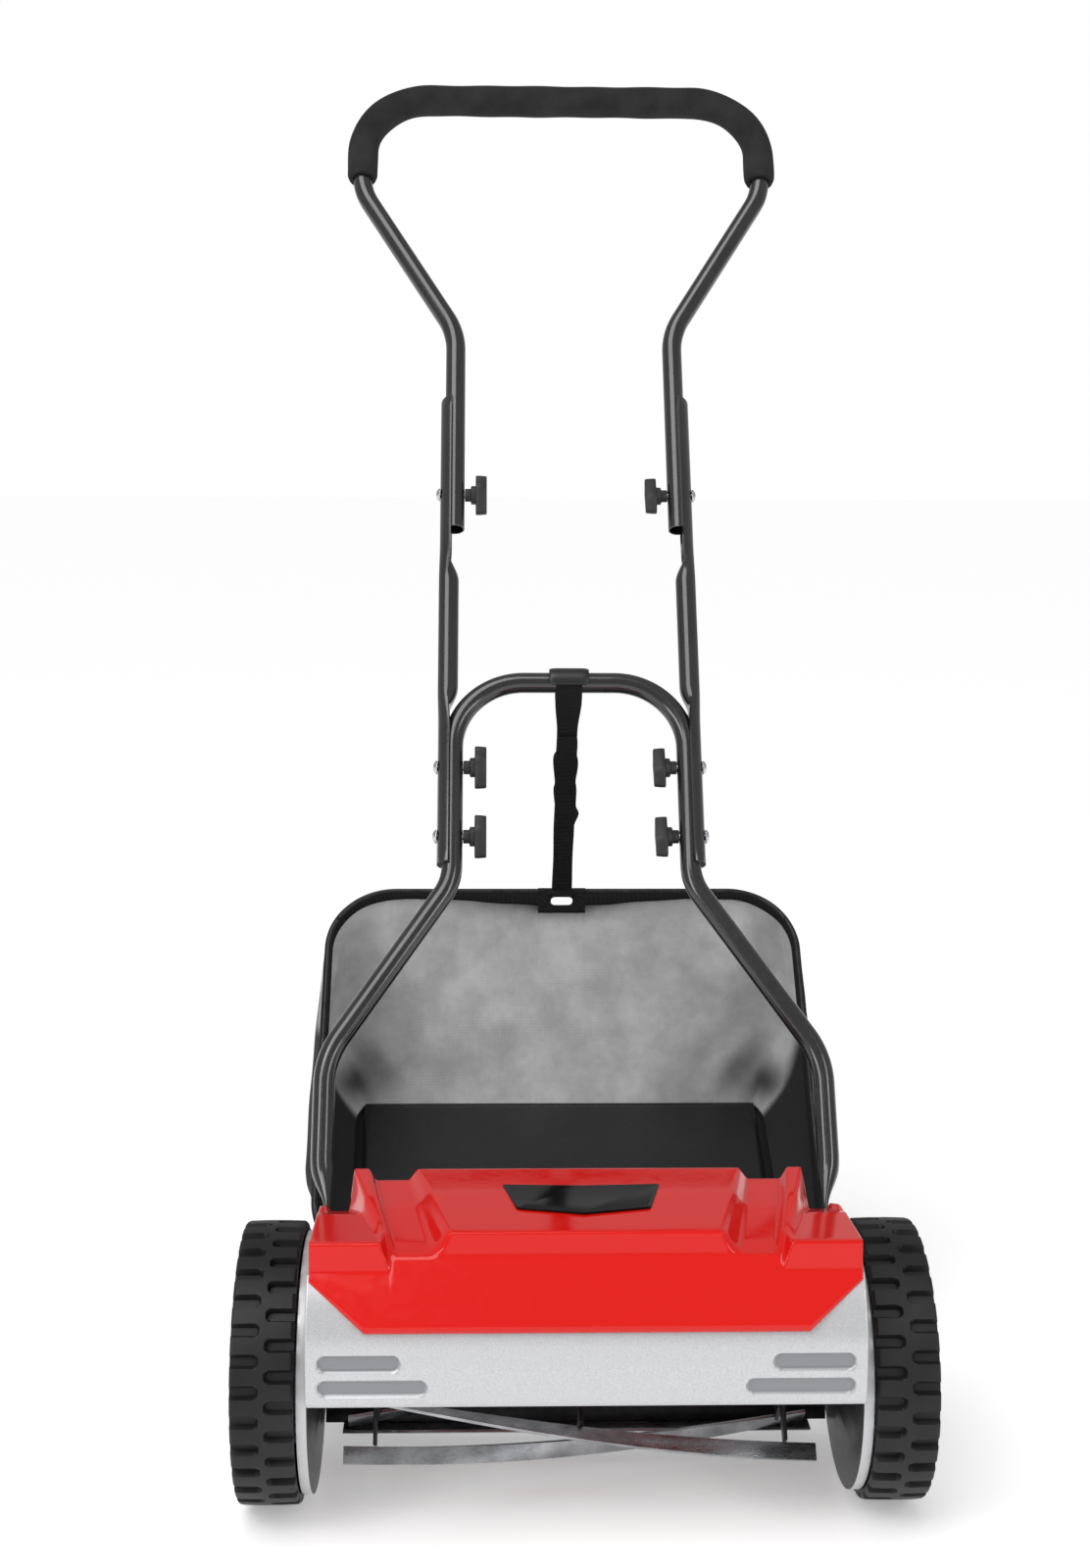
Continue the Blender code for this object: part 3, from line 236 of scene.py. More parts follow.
def eased(profile, radius, loop=False, steps=4):
    """A profile in mm whose corners are rounded: each becomes a short curve between its arms."""
    points = np.array(profile, float)
    before, after = np.roll(points, 1, axis=0), np.roll(points, -1, axis=0)
    reach_in = np.linalg.norm(before - points, axis=1, keepdims=True) + 1e-9
    reach_out = np.linalg.norm(after - points, axis=1, keepdims=True) + 1e-9
    start = points + (before - points) * np.minimum(radius / reach_in, 0.45)
    end = points + (after - points) * np.minimum(radius / reach_out, 0.45)
    t = np.linspace(0, 1, steps)[None, :, None]
    curves = (1 - t) ** 2 * start[:, None] + 2 * t * (1 - t) * points[:, None] + t ** 2 * end[:, None]
    if loop:
        return curves.reshape(-1, 2)
    return np.vstack((points[:1], curves[1:-1].reshape(-1, 2), points[-1:]))


def lathe(profile, centre, side, segments=64, push=None):
    """A profile in mm of (x, radius) turned about an axis along X; push(angles, rows) shifts x in mm."""
    angles = np.linspace(0, 2 * math.pi, segments, endpoint=False)
    x = np.repeat(profile[:, :1], segments, axis=1)
    if push is not None:
        x = x + push(angles[None, :], profile)
    radius = profile[:, 1:2]
    return np.stack((side * x * MM, centre[1] + radius * np.cos(angles) * MM,
                     centre[2] + radius * np.sin(angles) * MM), -1)


def turned_piece(name, profile, centre, side, material, body, *nodes, radius=0.6, loop=False,
                 segments=64, slot=None):
    """A turned piece with softened corners; a loop profile is a ring, any other ends on the axis."""
    soft = eased(profile, radius, loop)
    if loop:
        soft = np.vstack((soft, soft[:1]))
    mesh = skin(name, lathe(soft, centre, side, segments), around=True)
    return add_piece(name, mesh, material, body, *nodes, slot=slot)


# Black carbon rubber from a mould: a fine leathery grain, and a bloom that greys it in patches.
rubber, tree, shader = finish("moulded_rubber", "161617", 0.5, IOR=1.52, Specular_IOR_Level=0.35)
mottled(tree, shader, 30 * MM, "111112", "1C1C1D")
textured(tree, shader, 0.9 * MM, 0.05 * MM, rough=(0.42, 0.62))

TYRE_MIDDLE, TYRE_HALF = 245.0, 24.0      # mm from the mower's middle, and half the width
TREAD_RADIUS, SEAT_RADIUS = 110.0, 101.0
BLOCKS, GROOVE_HALF, GROOVE_DEPTH, RIB_HALF = 30, 4.2, 5.5, 2.6
COLUMNS_A_BLOCK = 22


def tyre_points(side):
    """A ring whose radius drops to the groove's floor wherever a point lies in a groove.

    A groove is a slot across one half of the tread: it ends in a half circle beside the middle rib
    and runs out over the shoulder.  The two halves are staggered by half a block.
    """
    edge = np.linspace(0, 1, 6)
    shoulder = np.column_stack((TYRE_HALF - 2.6 + 2.6 * np.sin(edge * math.pi / 2),
                                TREAD_RADIUS - 2.6 + 2.6 * np.cos(edge * math.pi / 2)))
    wall = np.column_stack((np.full(5, TYRE_HALF), np.linspace(TREAD_RADIUS - 3.4, SEAT_RADIUS, 5)))
    half = np.vstack((np.column_stack((np.arange(0, 21.1, 0.95), np.full(23, TREAD_RADIUS))),
                      shoulder, wall, [(TYRE_HALF * 0.5, SEAT_RADIUS)]))
    section = np.vstack((half[::-1] * (-1, 1), half[1:], [(-TYRE_HALF * 0.5, SEAT_RADIUS)]))
    columns = BLOCKS * COLUMNS_A_BLOCK
    angle = np.linspace(0, 2 * math.pi, columns, endpoint=False)[None, :]
    across, radius = section[:, :1], section[:, 1:2]
    stagger = np.where(across > 0, 0.0, 0.5)
    turns = angle / (2 * math.pi) * BLOCKS + stagger
    along = (turns - np.round(turns)) * 2 * math.pi * TREAD_RADIUS / BLOCKS
    inner_end = RIB_HALF + GROOVE_HALF
    gap = np.hypot(along, np.maximum(inner_end - np.abs(across), 0)) - GROOVE_HALF
    groove = 1 - smoothstep(-0.55, 0.75, gap)
    crown = 0.6 * (np.abs(across) / TYRE_HALF) ** 2
    radius = np.minimum(radius - crown, TREAD_RADIUS - GROOVE_DEPTH * groove)
    radius = np.maximum(radius, SEAT_RADIUS)
    x = side * (TYRE_MIDDLE + across + 0 * angle) * MM
    return np.stack((x, AXLE[1] + radius * np.cos(angle) * MM, AXLE[2] + radius * np.sin(angle) * MM), -1)


# Silver acrylic paint over ABS: tiny flakes sparkle under a satin lacquer.
silver, tree, shader = finish("silver_painted_abs", "C9CACC", 0.36, 0.45, IOR=1.5)
flakes = mottled(tree, shader, 0.8 * MM, "BEBFC1", "D3D4D6", detail=1.0)
# Painted shade: the floors of the pill recesses are painted a darker grey, 8C8D90, to stand in for the shade
# in them.
recess_painted_shade = add_node(tree, "ShaderNodeAttribute", attribute_name="recess").outputs["Fac"]
paint = add_node(tree, "ShaderNodeMix", {0: recess_painted_shade, 6: flakes.outputs["Color"], 7: linear("8C8D90")},
                 data_type="RGBA").outputs[2]
tree.links.new(paint, shader.inputs["Base Color"])
textured(tree, shader, 1.2 * MM, 0.012 * MM, rough=(0.32, 0.42))

RIM_PROFILE = [(222, 58), (222, 62), (234, 66), (234, 100.7), (267, 100.7), (267, 97.5),
               (244, 97.5), (244, 90), (244.4, 80), (244.8, 70), (245, 62), (246.8, 50), (248.4, 37),
               (250, 24), (258, 24), (258, 8.3), (238.5, 8.3), (238.5, 58)]
RIBS, RIB_WIDTH = 10, 5.0


def rim_ribs(angles, profile):
    """Ribs on the web's outer face: x rises where an angle lies within half a rib's width."""
    turns = angles / (2 * math.pi) * RIBS
    off = np.abs(turns - np.round(turns)) * 2 * math.pi / RIBS * profile[:, 1:2]
    on_web = (profile[:, :1] > 243.5) & (profile[:, :1] < 250.5) & (profile[:, 1:2] > 24)
    return 3.0 * (1 - smoothstep(RIB_WIDTH / 2 - 1, RIB_WIDTH / 2 + 1, off)) * on_web


CAP_PROFILE = [(258.5, 0), (258.5, 40), (262, 46.5), (266, 46.2), (270.5, 42), (272.3, 36), (271.6, 34.4),
               (273.4, 32.5), (275.2, 22), (275.9, 12), (275.2, 9), (275.4, 0)]


def cap_flutes(angles, profile):
    """Shallow finger flutes round the cap's shoulder."""
    shoulder = smoothstep(36, 40, profile[:, 1:2]) * (profile[:, :1] > 262)
    return -0.9 * shoulder * (0.5 + 0.5 * np.cos(24 * angles))


# Zinc-plated steel: bright, faintly blue, with a soft crystalline bloom.
zinc, tree, shader = finish("zinc_plated_steel", "C6C8CC", 0.26, 1.0)
mottled(tree, shader, 4 * MM, "B9BBC0", "D2D4D7")
textured(tree, shader, 0.7 * MM, 0.01 * MM, rough=(0.2, 0.34))

# Sintered steel: a grey, slightly porous metal with a film of grease.
sintered, tree, shader = finish("sintered_steel", "6E6F71", 0.4, 0.9)
mottled(tree, shader, 2 * MM, "595A5C", "7C7D80")
textured(tree, shader, 0.5 * MM, 0.03 * MM, rough=(0.3, 0.5))

REEL = joint_place["reel_spin"]
RING_TEETH, PINION_TEETH, GEAR_MODULE = 40, 10, 2.25
mesh_angle = math.atan2(REEL[2] - AXLE[2], REEL[1] - AXLE[1])


def tooth_radius(angles, teeth, phase, root, tip):
    """Straight-flanked teeth: the radius runs between root and tip as the angle crosses each flank."""
    turns = (angles - phase) / (2 * math.pi) * teeth
    off = np.abs(turns - np.round(turns))
    return root + (tip - root) * (1 - smoothstep(0.13, 0.27, off))


def gear_points(centre, side, radii, inner, low, high):
    """A toothed ring between two faces, its edges broken; inner is the plain wall's radius."""
    angles = np.linspace(0, 2 * math.pi, len(radii), endpoint=False)
    toward = np.sign(inner - radii.mean())
    rows = [(low, np.full_like(radii, inner)), (low, radii + toward * 0.3), (low + 0.3, radii),
            (high - 0.3, radii), (high, radii + toward * 0.3), (high, np.full_like(radii, inner))]
    rows.append(rows[0])
    return np.array([np.stack((np.full_like(r, side * x * MM), centre[1] + r * np.cos(angles) * MM,
                               centre[2] + r * np.sin(angles) * MM), -1) for x, r in rows])


for name, side in SIDES:
    wheel = "wheel_" + name
    tyre_rows = tyre_points(side)
    tyre_mesh = skin("tyre", np.concatenate((tyre_rows, tyre_rows[:1])), around=True)
    add_piece("treaded_tyre_" + name, tyre_mesh, rubber, wheel, "tyre_" + name)

    rim_soft = eased(RIM_PROFILE, 1.2, loop=True)
    rim_soft = np.vstack((rim_soft, rim_soft[:1]))
    rim_mesh = skin("rim", lathe(rim_soft, AXLE, side, 300, rim_ribs), around=True)
    add_piece("ribbed_rim_" + name, rim_mesh, silver, wheel, "wheel_rim_" + name)

    cap_mesh = skin("cap", lathe(eased(CAP_PROFILE, 1.2), AXLE, side, 192, cap_flutes), around=True)
    add_piece("domed_cap_" + name, cap_mesh, silver, wheel, "hub_cap_" + name)

    angles = np.linspace(0, 2 * math.pi, RING_TEETH * 12, endpoint=False)
    pitch = GEAR_MODULE * RING_TEETH / 2
    radii = tooth_radius(angles, RING_TEETH, mesh_angle + math.pi / RING_TEETH, pitch + 2.3, pitch - 1.7)
    ring = skin("ring", gear_points(AXLE, side, radii, 59.0, 223.0, 239.0), around=True)
    add_piece("ring_gear_" + name, ring, silver, wheel, slot="silver_plastic")

    angles = np.linspace(0, 2 * math.pi, PINION_TEETH * 16, endpoint=False)
    pitch = GEAR_MODULE * PINION_TEETH / 2
    radii = tooth_radius(angles, PINION_TEETH, mesh_angle, pitch - 2.3, pitch + 1.7)
    pinion = skin("pinion", gear_points(REEL, side, radii, 7.3, 224.0, 236.0), around=True)
    add_piece("sintered_pinion_" + name, pinion, sintered, "pinion_" + name, "pinion_" + name)

    turned_piece("stub_axle_" + name, [(211, 0), (211, 8), (257.5, 8), (257.5, 0)], AXLE, side, zinc,
                 "chassis", "axle_" + name)

# ------------------------------------------------------------------ side plates and rear bar
# Die-cast alloy plates carry everything. Their rims are painted silver like the front cover and
# their inner faces are left in the black undercoat. A plain round bar ties them at the back.
cast, tree, shader = finish("painted_alloy_casting", "C4C5C7", 0.4, 0.35)
place = add_node(tree, "ShaderNodeTexCoord").outputs["Object"]
across = add_node(tree, "ShaderNodeSeparateXYZ", {"Vector": place}).outputs["X"]
distance = add_node(tree, "ShaderNodeMath", {0: across}, operation="ABSOLUTE").outputs[0]
is_rim = add_node(tree, "ShaderNodeMapRange",
                  {"Value": distance, "From Min": 0.2112, "From Max": 0.2118}).outputs["Result"]
paint = add_node(tree, "ShaderNodeMix", {0: is_rim, 6: linear("2A2A2B"), 7: linear("C6C7C9")},
                 data_type="RGBA").outputs[2]
tree.links.new(paint, shader.inputs["Base Color"])
textured(tree, shader, 1.5 * MM, 0.03 * MM, rough=(0.34, 0.46))

# Black phosphated mild steel: thin, dull and slightly brown where it has been handled.
phosphated, tree, shader = finish("black_phosphated_steel", "2B2B2D", 0.42, 0.7)
mottled(tree, shader, 14 * MM, "232325", "38373A")
textured(tree, shader, 0.8 * MM, 0.03 * MM, rough=(0.34, 0.52))


def broken_edges(node, width, segments=2):
    """A flat piece's own shape with its triangles joined and its sharp edges broken by a bevel."""
    mesh = frame["nodes"][node].data.copy()
    mesh.materials.clear()
    work = bmesh.new()
    work.from_mesh(mesh)
    bmesh.ops.remove_doubles(work, verts=work.verts, dist=1e-5)
    bmesh.ops.dissolve_limit(work, angle_limit=math.radians(1), verts=work.verts, edges=work.edges)
    sharp = [e for e in work.edges if e.is_manifold and e.calc_face_angle() > math.radians(30)]
    bmesh.ops.bevel(work, geom=sharp, offset=width, segments=segments, profile=0.5, affect="EDGES",
                    clamp_overlap=True)
    bmesh.ops.recalc_face_normals(work, faces=work.faces)
    work.to_mesh(mesh)
    work.free()
    if "custom_normal" in mesh.attributes:
        mesh.attributes.remove(mesh.attributes["custom_normal"])
    mesh.shade_smooth()
    mesh.set_sharp_from_angle(angle=math.radians(32))
    return mesh


def plain_bar(name, half, radius, centre, material, body, node):
    """A round bar across the mower with broken ends."""
    turned_piece(name, [(-half, 0), (-half, radius), (half, radius), (half, 0)], centre, 1.0, material,
                 body, node)


REAR_BAR = joint_place["bag_swing"]
for name, side in SIDES:
    add_piece("cast_side_plate_" + name, broken_edges("side_plate_" + name, 1.6 * MM, 3), cast,
              "chassis", "side_plate_" + name)
plain_bar("plain_rear_bar", 219.5, 6.0, REAR_BAR, phosphated, "chassis", "rear_bar")

# ------------------------------------------------------------------ front cover
# A satin silver ABS moulding that bows out in front of the reel, with two pill-shaped recesses
# pressed into each end. It is screwed between the side plates behind the hood's lower edge.
COVER_HALF = 210.7
COVER_PROFILE = [(-90, 219), (-102, 202), (-112.5, 178), (-115.5, 150), (-114.5, 127.5), (-111, 121.6),
                 (-98, 120)]
RECESSES = [(-1, 140, 202, 158), (-1, 120, 202, 139), (1, 140, 202, 158), (1, 120, 202, 139)]
RECESS_RADIUS, RECESS_DEPTH = 6.2, 2.4


def along_profile(profile, count):
    """Points at even steps along a profile."""
    points = np.array(profile, float)
    length = np.concatenate(([0], np.cumsum(np.linalg.norm(np.diff(points, axis=0), axis=1))))
    t = np.linspace(0, length[-1], count)
    return np.column_stack((np.interp(t, length, points[:, 0]), np.interp(t, length, points[:, 1])))


def cover_points():
    """The profile carried across, pushed back wherever a point lies inside a pill's outline."""
    section = along_profile(eased(COVER_PROFILE, 9, steps=8), 110)
    x = np.linspace(-COVER_HALF, COVER_HALF, 300)[:, None]
    y, z = section[None, :, 0] + 0 * x, section[None, :, 1] + 0 * x
    recess = np.zeros_like(y)
    for sign, near, far, height in RECESSES:
        past = np.maximum(sign * x - (far - RECESS_RADIUS), (near + RECESS_RADIUS) - sign * x)
        inside = np.hypot(np.maximum(past, 0), z - height) - RECESS_RADIUS
        share = (1 - smoothstep(-1.0, 0.9, inside)) * (y < -109)
        y, recess = y + RECESS_DEPTH * share, np.maximum(recess, share)
    return np.stack((x + 0 * y, y, z), -1) * MM + (0, AXLE[1], 0), recess


points, recess = cover_points()
cover_mesh = skin("cover", points, closed=False)
# The recess share marks where the silver is painted darker grey as painted shade in the pills.
cover_mesh.attributes.new("recess", "FLOAT", "POINT").data.foreach_set("value", recess.ravel())
cover = add_piece("moulded_front_cover", cover_mesh, silver, "chassis", "front_housing")


def thickened(piece, thickness, offset):
    """A sheet gets its wall; offset -1 puts it behind the faces and +1 in front."""
    wall = piece.modifiers.new("wall", "SOLIDIFY")
    wall.thickness = thickness
    wall.offset = offset
    wall.use_even_offset = True
    wall.use_quality_normals = True


thickened(cover, 2.8 * MM, -1.0)

# ------------------------------------------------------------------ hood
# The hood is one glossy red ABS moulding: a raised middle panel that ends in a steep step, a valley
# on either side, a fin, and an outer pod with its own step. Its lower edge is rolled under.
gloss_red, tree, shader = finish("gloss_red_abs", "D6130D", 0.1, IOR=1.42)
textured(tree, shader, 7 * MM, 0.02 * MM, rough=(0.08, 0.14), detail=1.0)

# (y, z) in mm from the rear edge, over the crest and down the front face, for each zone
HOOD_SECTIONS = {
    "centre": [(58, 249), (0, 250.5), (-82, 249), (-84.5, 231), (-102, 207), (-114.4, 190)],
    "valley": [(58, 239.5), (0, 238), (-62, 234), (-84.5, 231), (-102, 207), (-114.4, 190)],
    "fin": [(58, 249.5), (0, 247.5), (-62, 241), (-84.5, 231), (-102, 207), (-114.4, 190)],
    "pod": [(34, 222), (-12, 237), (-89, 243.5), (-91.5, 221), (-102, 207), (-114.4, 190)],
}
# X in mm where one zone turns into the next, from and to, at the rear edge, along the front crest
# and at the steps' feet
HOOD_BORDERS = [("valley", (131, 101, 107.6), (141, 122, 121)),
                ("fin", (165, 146.5, 142.5), (173, 152, 145)),
                ("pod", (183.5, 153, 145.5), (187.5, 156, 148.5))]
HOOD_HALF, HOOD_WALL = 209.0, 2.6
CHAMFER_START, CHAMFER_RISE = 167.0, 27.6
ROLL_RADIUS = 6.0


def hood_rows(section, t):
    """(y, z) at places t along a section, averaged over a short window, which rounds its corners."""
    points = np.array(section, float)
    window, weights = np.linspace(-0.1, 0.1, 9), np.hanning(11)[1:-1]
    keys = np.arange(len(points))
    shifted = np.clip(t[:, None] + window * np.minimum(1, np.minimum(t, 5 - t)[:, None] / 0.1), 0, 5)
    y = (np.interp(shifted, keys, points[:, 0]) * weights).sum(1) / weights.sum()
    z = (np.interp(shifted, keys, points[:, 1]) * weights).sum(1) / weights.sum()
    return y, z


def hood_points():
    """Each zone's section, blended across the borders, which slide inwards from rear to front.

    Past CHAMFER_START the lower edge climbs in a straight chamfer, and the last rows roll under.
    """
    t = np.concatenate((np.linspace(0, 1, 22), np.linspace(1, 2, 34)[1:], np.linspace(2, 3, 26)[1:],
                        np.linspace(3, 4, 20)[1:], np.linspace(4, 5, 26)[1:]))
    x = np.linspace(-HOOD_HALF, HOOD_HALF, 381)[:, None]
    out = np.abs(x)
    y, z = (v[None, :] for v in hood_rows(HOOD_SECTIONS["centre"], t))
    for zone, start, end in HOOD_BORDERS:
        zone_y, zone_z = hood_rows(HOOD_SECTIONS[zone], t)
        low, high = (np.interp(t, (0, 1, 2, 3), (x0, x0 + (x1 - x0) * 0.41, x1, x2))[None, :]
                     for x0, x1, x2 in (start, end))
        share = smoothstep(low, high, out)
        y, z = y + (zone_y[None, :] - y) * share, z + (zone_z[None, :] - z) * share
    lip = smoothstep(201, 205, out) * (1 - smoothstep(0.3, 1.0, t))[None, :]
    z = z + 5.0 * lip
    past = np.clip((out - CHAMFER_START) / (HOOD_HALF - CHAMFER_START), 0, None)
    foot = int(np.searchsorted(t, 3.0))
    kept = 1 - CHAMFER_RISE * past / (z[:, foot:foot + 1] - z[:, -1:])
    below = (t > 3)[None, :]
    y = np.where(below, y[:, foot:foot + 1] + (y - y[:, foot:foot + 1]) * kept, y)
    z = np.where(below, z[:, foot:foot + 1] + (z - z[:, foot:foot + 1]) * kept, z)
    x = x + 0 * y
    turn, radius = np.linspace(0, math.radians(105), 9)[1:][None, :], ROLL_RADIUS * (1 - 0.6 * past)
    rolled_y = y[:, -1:] + radius * (0.81 * (1 - np.cos(turn)) - 0.59 * np.sin(turn))
    rolled_z = z[:, -1:] - radius * (0.59 * (1 - np.cos(turn)) + 0.81 * np.sin(turn))
    y, z = np.hstack((y, rolled_y)), np.hstack((z, rolled_z))
    x = np.hstack((x, np.repeat(x[:, -1:], turn.size, axis=1)))
    return np.stack((x, y, z), -1) * MM + (0, AXLE[1], 0)


hood = add_piece("gloss_hood", skin("hood", hood_points(), closed=False, crease=60), gloss_red,
                 "chassis", "hood")
thickened(hood, HOOD_WALL * MM, -1.0)

# The badge is a plain black gloss plate let into the panel.
black_gloss, tree, shader = finish("black_gloss_acrylic", "050506", 0.12, IOR=1.4,
                                   Specular_IOR_Level=0.3)
textured(tree, shader, 9 * MM, 0.008 * MM)

BADGE_TOP = 251.7
BADGE_OUTLINE = [(-63, 14), (0, 11), (63, 14), (52, -38), (0, -50), (-52, -38)]


def shield_rings(levels):
    """The badge's outline drawn in by an inset at each height, capped top and bottom."""
    outline = eased(BADGE_OUTLINE, 2.2, loop=True, steps=8)
    outline = np.roll(outline, -4, axis=0)
    tangent = np.roll(outline, -1, axis=0) - np.roll(outline, 1, axis=0)
    normal = np.column_stack((tangent[:, 1], -tangent[:, 0]))
    normal /= np.linalg.norm(normal, axis=1)[:, None] + 1e-9
    normal *= np.sign((normal * (outline + (0, 18))).sum(1))[:, None]
    rings = []
    for height, inset in levels:
        ring = outline - normal * inset
        rings.append(np.column_stack((ring, np.full(len(ring), BADGE_TOP + height))))
    points = np.array(rings) * MM + (0, AXLE[1], 0)
    return points


badge_rings = shield_rings([(-1.6, 0), (-0.5, 0), (-0.1, 0.5), (0, 1.2), (-0.05, 1.6)])
badge_mesh = skin("badge", badge_rings, around=True, capped=True)
add_piece("black_badge", badge_mesh, black_gloss, "chassis", "badge")

# ------------------------------------------------------------------ reel and bed knife
# Five hardened steel blades, ground bright on the edge, are welded in a helix to three pressed
# spiders on a shaft. They turn against a flat knife bolted under a folded steel carrier.
ground, tree, shader = finish("ground_blade_steel", "9FA1A4", 0.3, 1.0)
mottled(tree, shader, 25 * MM, "8B8D90", "B4B6B9")
textured(tree, shader, 1.0 * MM, 0.02 * MM, rough=(0.2, 0.42), stretch=(0.05, 1.0, 1.0))

BLADE_COUNT, BLADE_TWIST = 5, math.radians(75)
REEL_RADIUS, REEL_HALF, BLADE_HEIGHT, BLADE_THICK = 60.0, 190.0, 14.0, 3.0


def blade_points(number):
    """A strip's section, carried from end to end while it turns about the reel's axis."""
    half, root = BLADE_THICK / 2, REEL_RADIUS - BLADE_HEIGHT
    section = eased([(REEL_RADIUS, half), (REEL_RADIUS, -half), (root, -half), (root, half)],
                    0.45, loop=True)
    x = np.linspace(-REEL_HALF, REEL_HALF, 90)[:, None]
    angle = 2 * math.pi * number / BLADE_COUNT + BLADE_TWIST * x / (2 * REEL_HALF)
    angle = angle + section[None, :, 1] / section[None, :, 0]
    radius = section[None, :, 0] + 0 * x
    return np.stack((x * MM + 0 * angle, REEL[1] + radius * np.sin(angle) * MM,
                     REEL[2] - radius * np.cos(angle) * MM), -1)


for number in range(BLADE_COUNT):
    blade_mesh = skin("blade", blade_points(number), around=True, capped=True, crease=50)
    add_piece("ground_blade_%d" % (number + 1), blade_mesh, ground, "reel",
              "reel_blade_%d" % (number + 1))
for number in (1, 2, 3):
    node = "reel_spider_%d" % number
    add_piece("pressed_spider_%d" % number, broken_edges(node, 0.5 * MM), phosphated, "reel", node)
plain_bar("turned_reel_shaft", 237.0, 7.0, REEL, zinc, "reel", "reel_shaft")
for name, side in SIDES:
    bearing = [(209, 7.3), (209, 15.5), (210.7, 15.5), (210.7, 14), (219.5, 14), (219.5, 7.3)]
    turned_piece("flanged_bearing_" + name, bearing, REEL, side, zinc, "chassis",
                 "reel_bearing_" + name, loop=True, radius=0.4)
    add_piece("countersunk_screw_" + name, broken_edges("knife_screw_" + name, 0.3 * MM), zinc, "knife",
              "knife_screw_" + name)
add_piece("ground_bed_knife", broken_edges("bed_knife", 0.3 * MM), ground, "knife", "bed_knife")
add_piece("folded_knife_carrier", broken_edges("knife_carrier", 1.2 * MM), phosphated, "knife",
          "knife_carrier")

# ------------------------------------------------------------------ rear roller
# A black polyethylene tube turns on a plain shaft between two pressed brackets, whose studs slide
# in the side plates' slots and are clamped by a wing knob each.
polyethylene, tree, shader = finish("black_polyethylene", "222223", 0.45, IOR=1.51)
mottled(tree, shader, 18 * MM, "1C1C1D", "2A2A2B")
textured(tree, shader, 1.1 * MM, 0.04 * MM, rough=(0.38, 0.55))

ROLLER = joint_place["roller_spin"]
ROLLER_HALF = 196.0
rings_at = np.array((-130.0, -65.0, 0.0, 65.0, 130.0))
roller_body = [(-ROLLER_HALF, 5.3), (-ROLLER_HALF, 21), (-ROLLER_HALF + 1, 22)]
for middle in rings_at:
    roller_body += [(middle - 1.6, 22), (middle - 0.9, 20.8), (middle + 0.9, 20.8), (middle + 1.6, 22)]
roller_body += [(ROLLER_HALF - 1, 22), (ROLLER_HALF, 21), (ROLLER_HALF, 5.3)]
turned_piece("grooved_roller", roller_body, ROLLER, 1.0, polyethylene, "roller", "roller", loop=True,
             radius=0.5, segments=72)
plain_bar("plain_roller_shaft", 208.0, 5.0, ROLLER, zinc, "roller_carriage", "roller_shaft")
for name, side in SIDES:
    node = "roller_bracket_" + name
    add_piece("pressed_" + node, broken_edges(node, 0.6 * MM), phosphated, "roller_carriage", node)

# ------------------------------------------------------------------ handle tubes
# The handle is bent from 19 mm steel tube with a gloss black powder coat: a lower arch whose feet
# are pressed flat, two mid tubes with dished ends, and an upper hoop with open ends.
powder, tree, shader = finish("gloss_black_powder_coat", "1C1C1D", 0.2, 0.0, IOR=1.55,
                              Coat_Weight=0.5, Coat_Roughness=0.06)
mottled(tree, shader, 40 * MM, "181819", "212122")
textured(tree, shader, 5 * MM, 0.012 * MM, rough=(0.16, 0.24), detail=1.0)

PIVOT, ARCH = joint_place["handle_tilt"], joint_place["strap_swing"]
ARCH_S = float(np.linalg.norm(ARCH - PIVOT)) / MM
HANDLE_UP = (ARCH - PIVOT) / np.linalg.norm(ARCH - PIVOT)
HANDLE_NORMAL = np.array((0.0, -HANDLE_UP[2], HANDLE_UP[1]))
TUBE_RADIUS, TUBE_WALL = 9.5, 1.1
WAIST_X = 107.0


def on_handle(x, s, n=0.0):
    """Points at x across, s up the handle from its pivot and n in front of its plane, in mm."""
    x, s, n = np.broadcast_arrays(x, s, n)
    flat = s[..., None] * HANDLE_UP + n[..., None] * HANDLE_NORMAL
    flat[..., 0] += x
    return PIVOT + flat * MM


def bent(corners, radii, step=5.0):
    """Points along straight runs joined by arcs of the radii, a step apart."""
    corners = np.array(corners, float)
    pieces, last = [], corners[0]
    for before, corner, after, radius in zip(corners, corners[1:], corners[2:], radii):
        back, ahead = before - corner, after - corner
        back, ahead = back / np.linalg.norm(back), ahead / np.linalg.norm(ahead)
        half = math.acos(np.clip(back @ ahead, -1, 1)) / 2
        reach = radius / math.tan(half)
        centre = corner + (back + ahead) / np.linalg.norm(back + ahead) * radius / math.sin(half)
        first, final = corner + back * reach - centre, corner + ahead * reach - centre
        turn = math.pi - 2 * half
        run = np.linspace(0, 1, max(int(np.linalg.norm(corner + back * reach - last) / step), 1) + 1)[:-1]
        pieces.append(last + (corner + back * reach - last) * run[:, None])
        t = np.linspace(0, 1, max(int(radius * turn / step), 6) + 1)[:-1, None]
        pieces.append(centre + (np.sin((1 - t) * turn) * first + np.sin(t * turn) * final) / math.sin(turn))
        last = centre + final
    run = np.linspace(0, 1, max(int(np.linalg.norm(corners[-1] - last) / step), 1) + 1)
    pieces.append(last + (corners[-1] - last) * run[:, None])
    return np.vstack(pieces)


def both_halves(path):
    """A right half that ends on the middle line, run on over its mirror image."""
    return np.vstack((path, path[-2::-1] * ((-1.0,) + (1.0,) * (path.shape[1] - 1))))


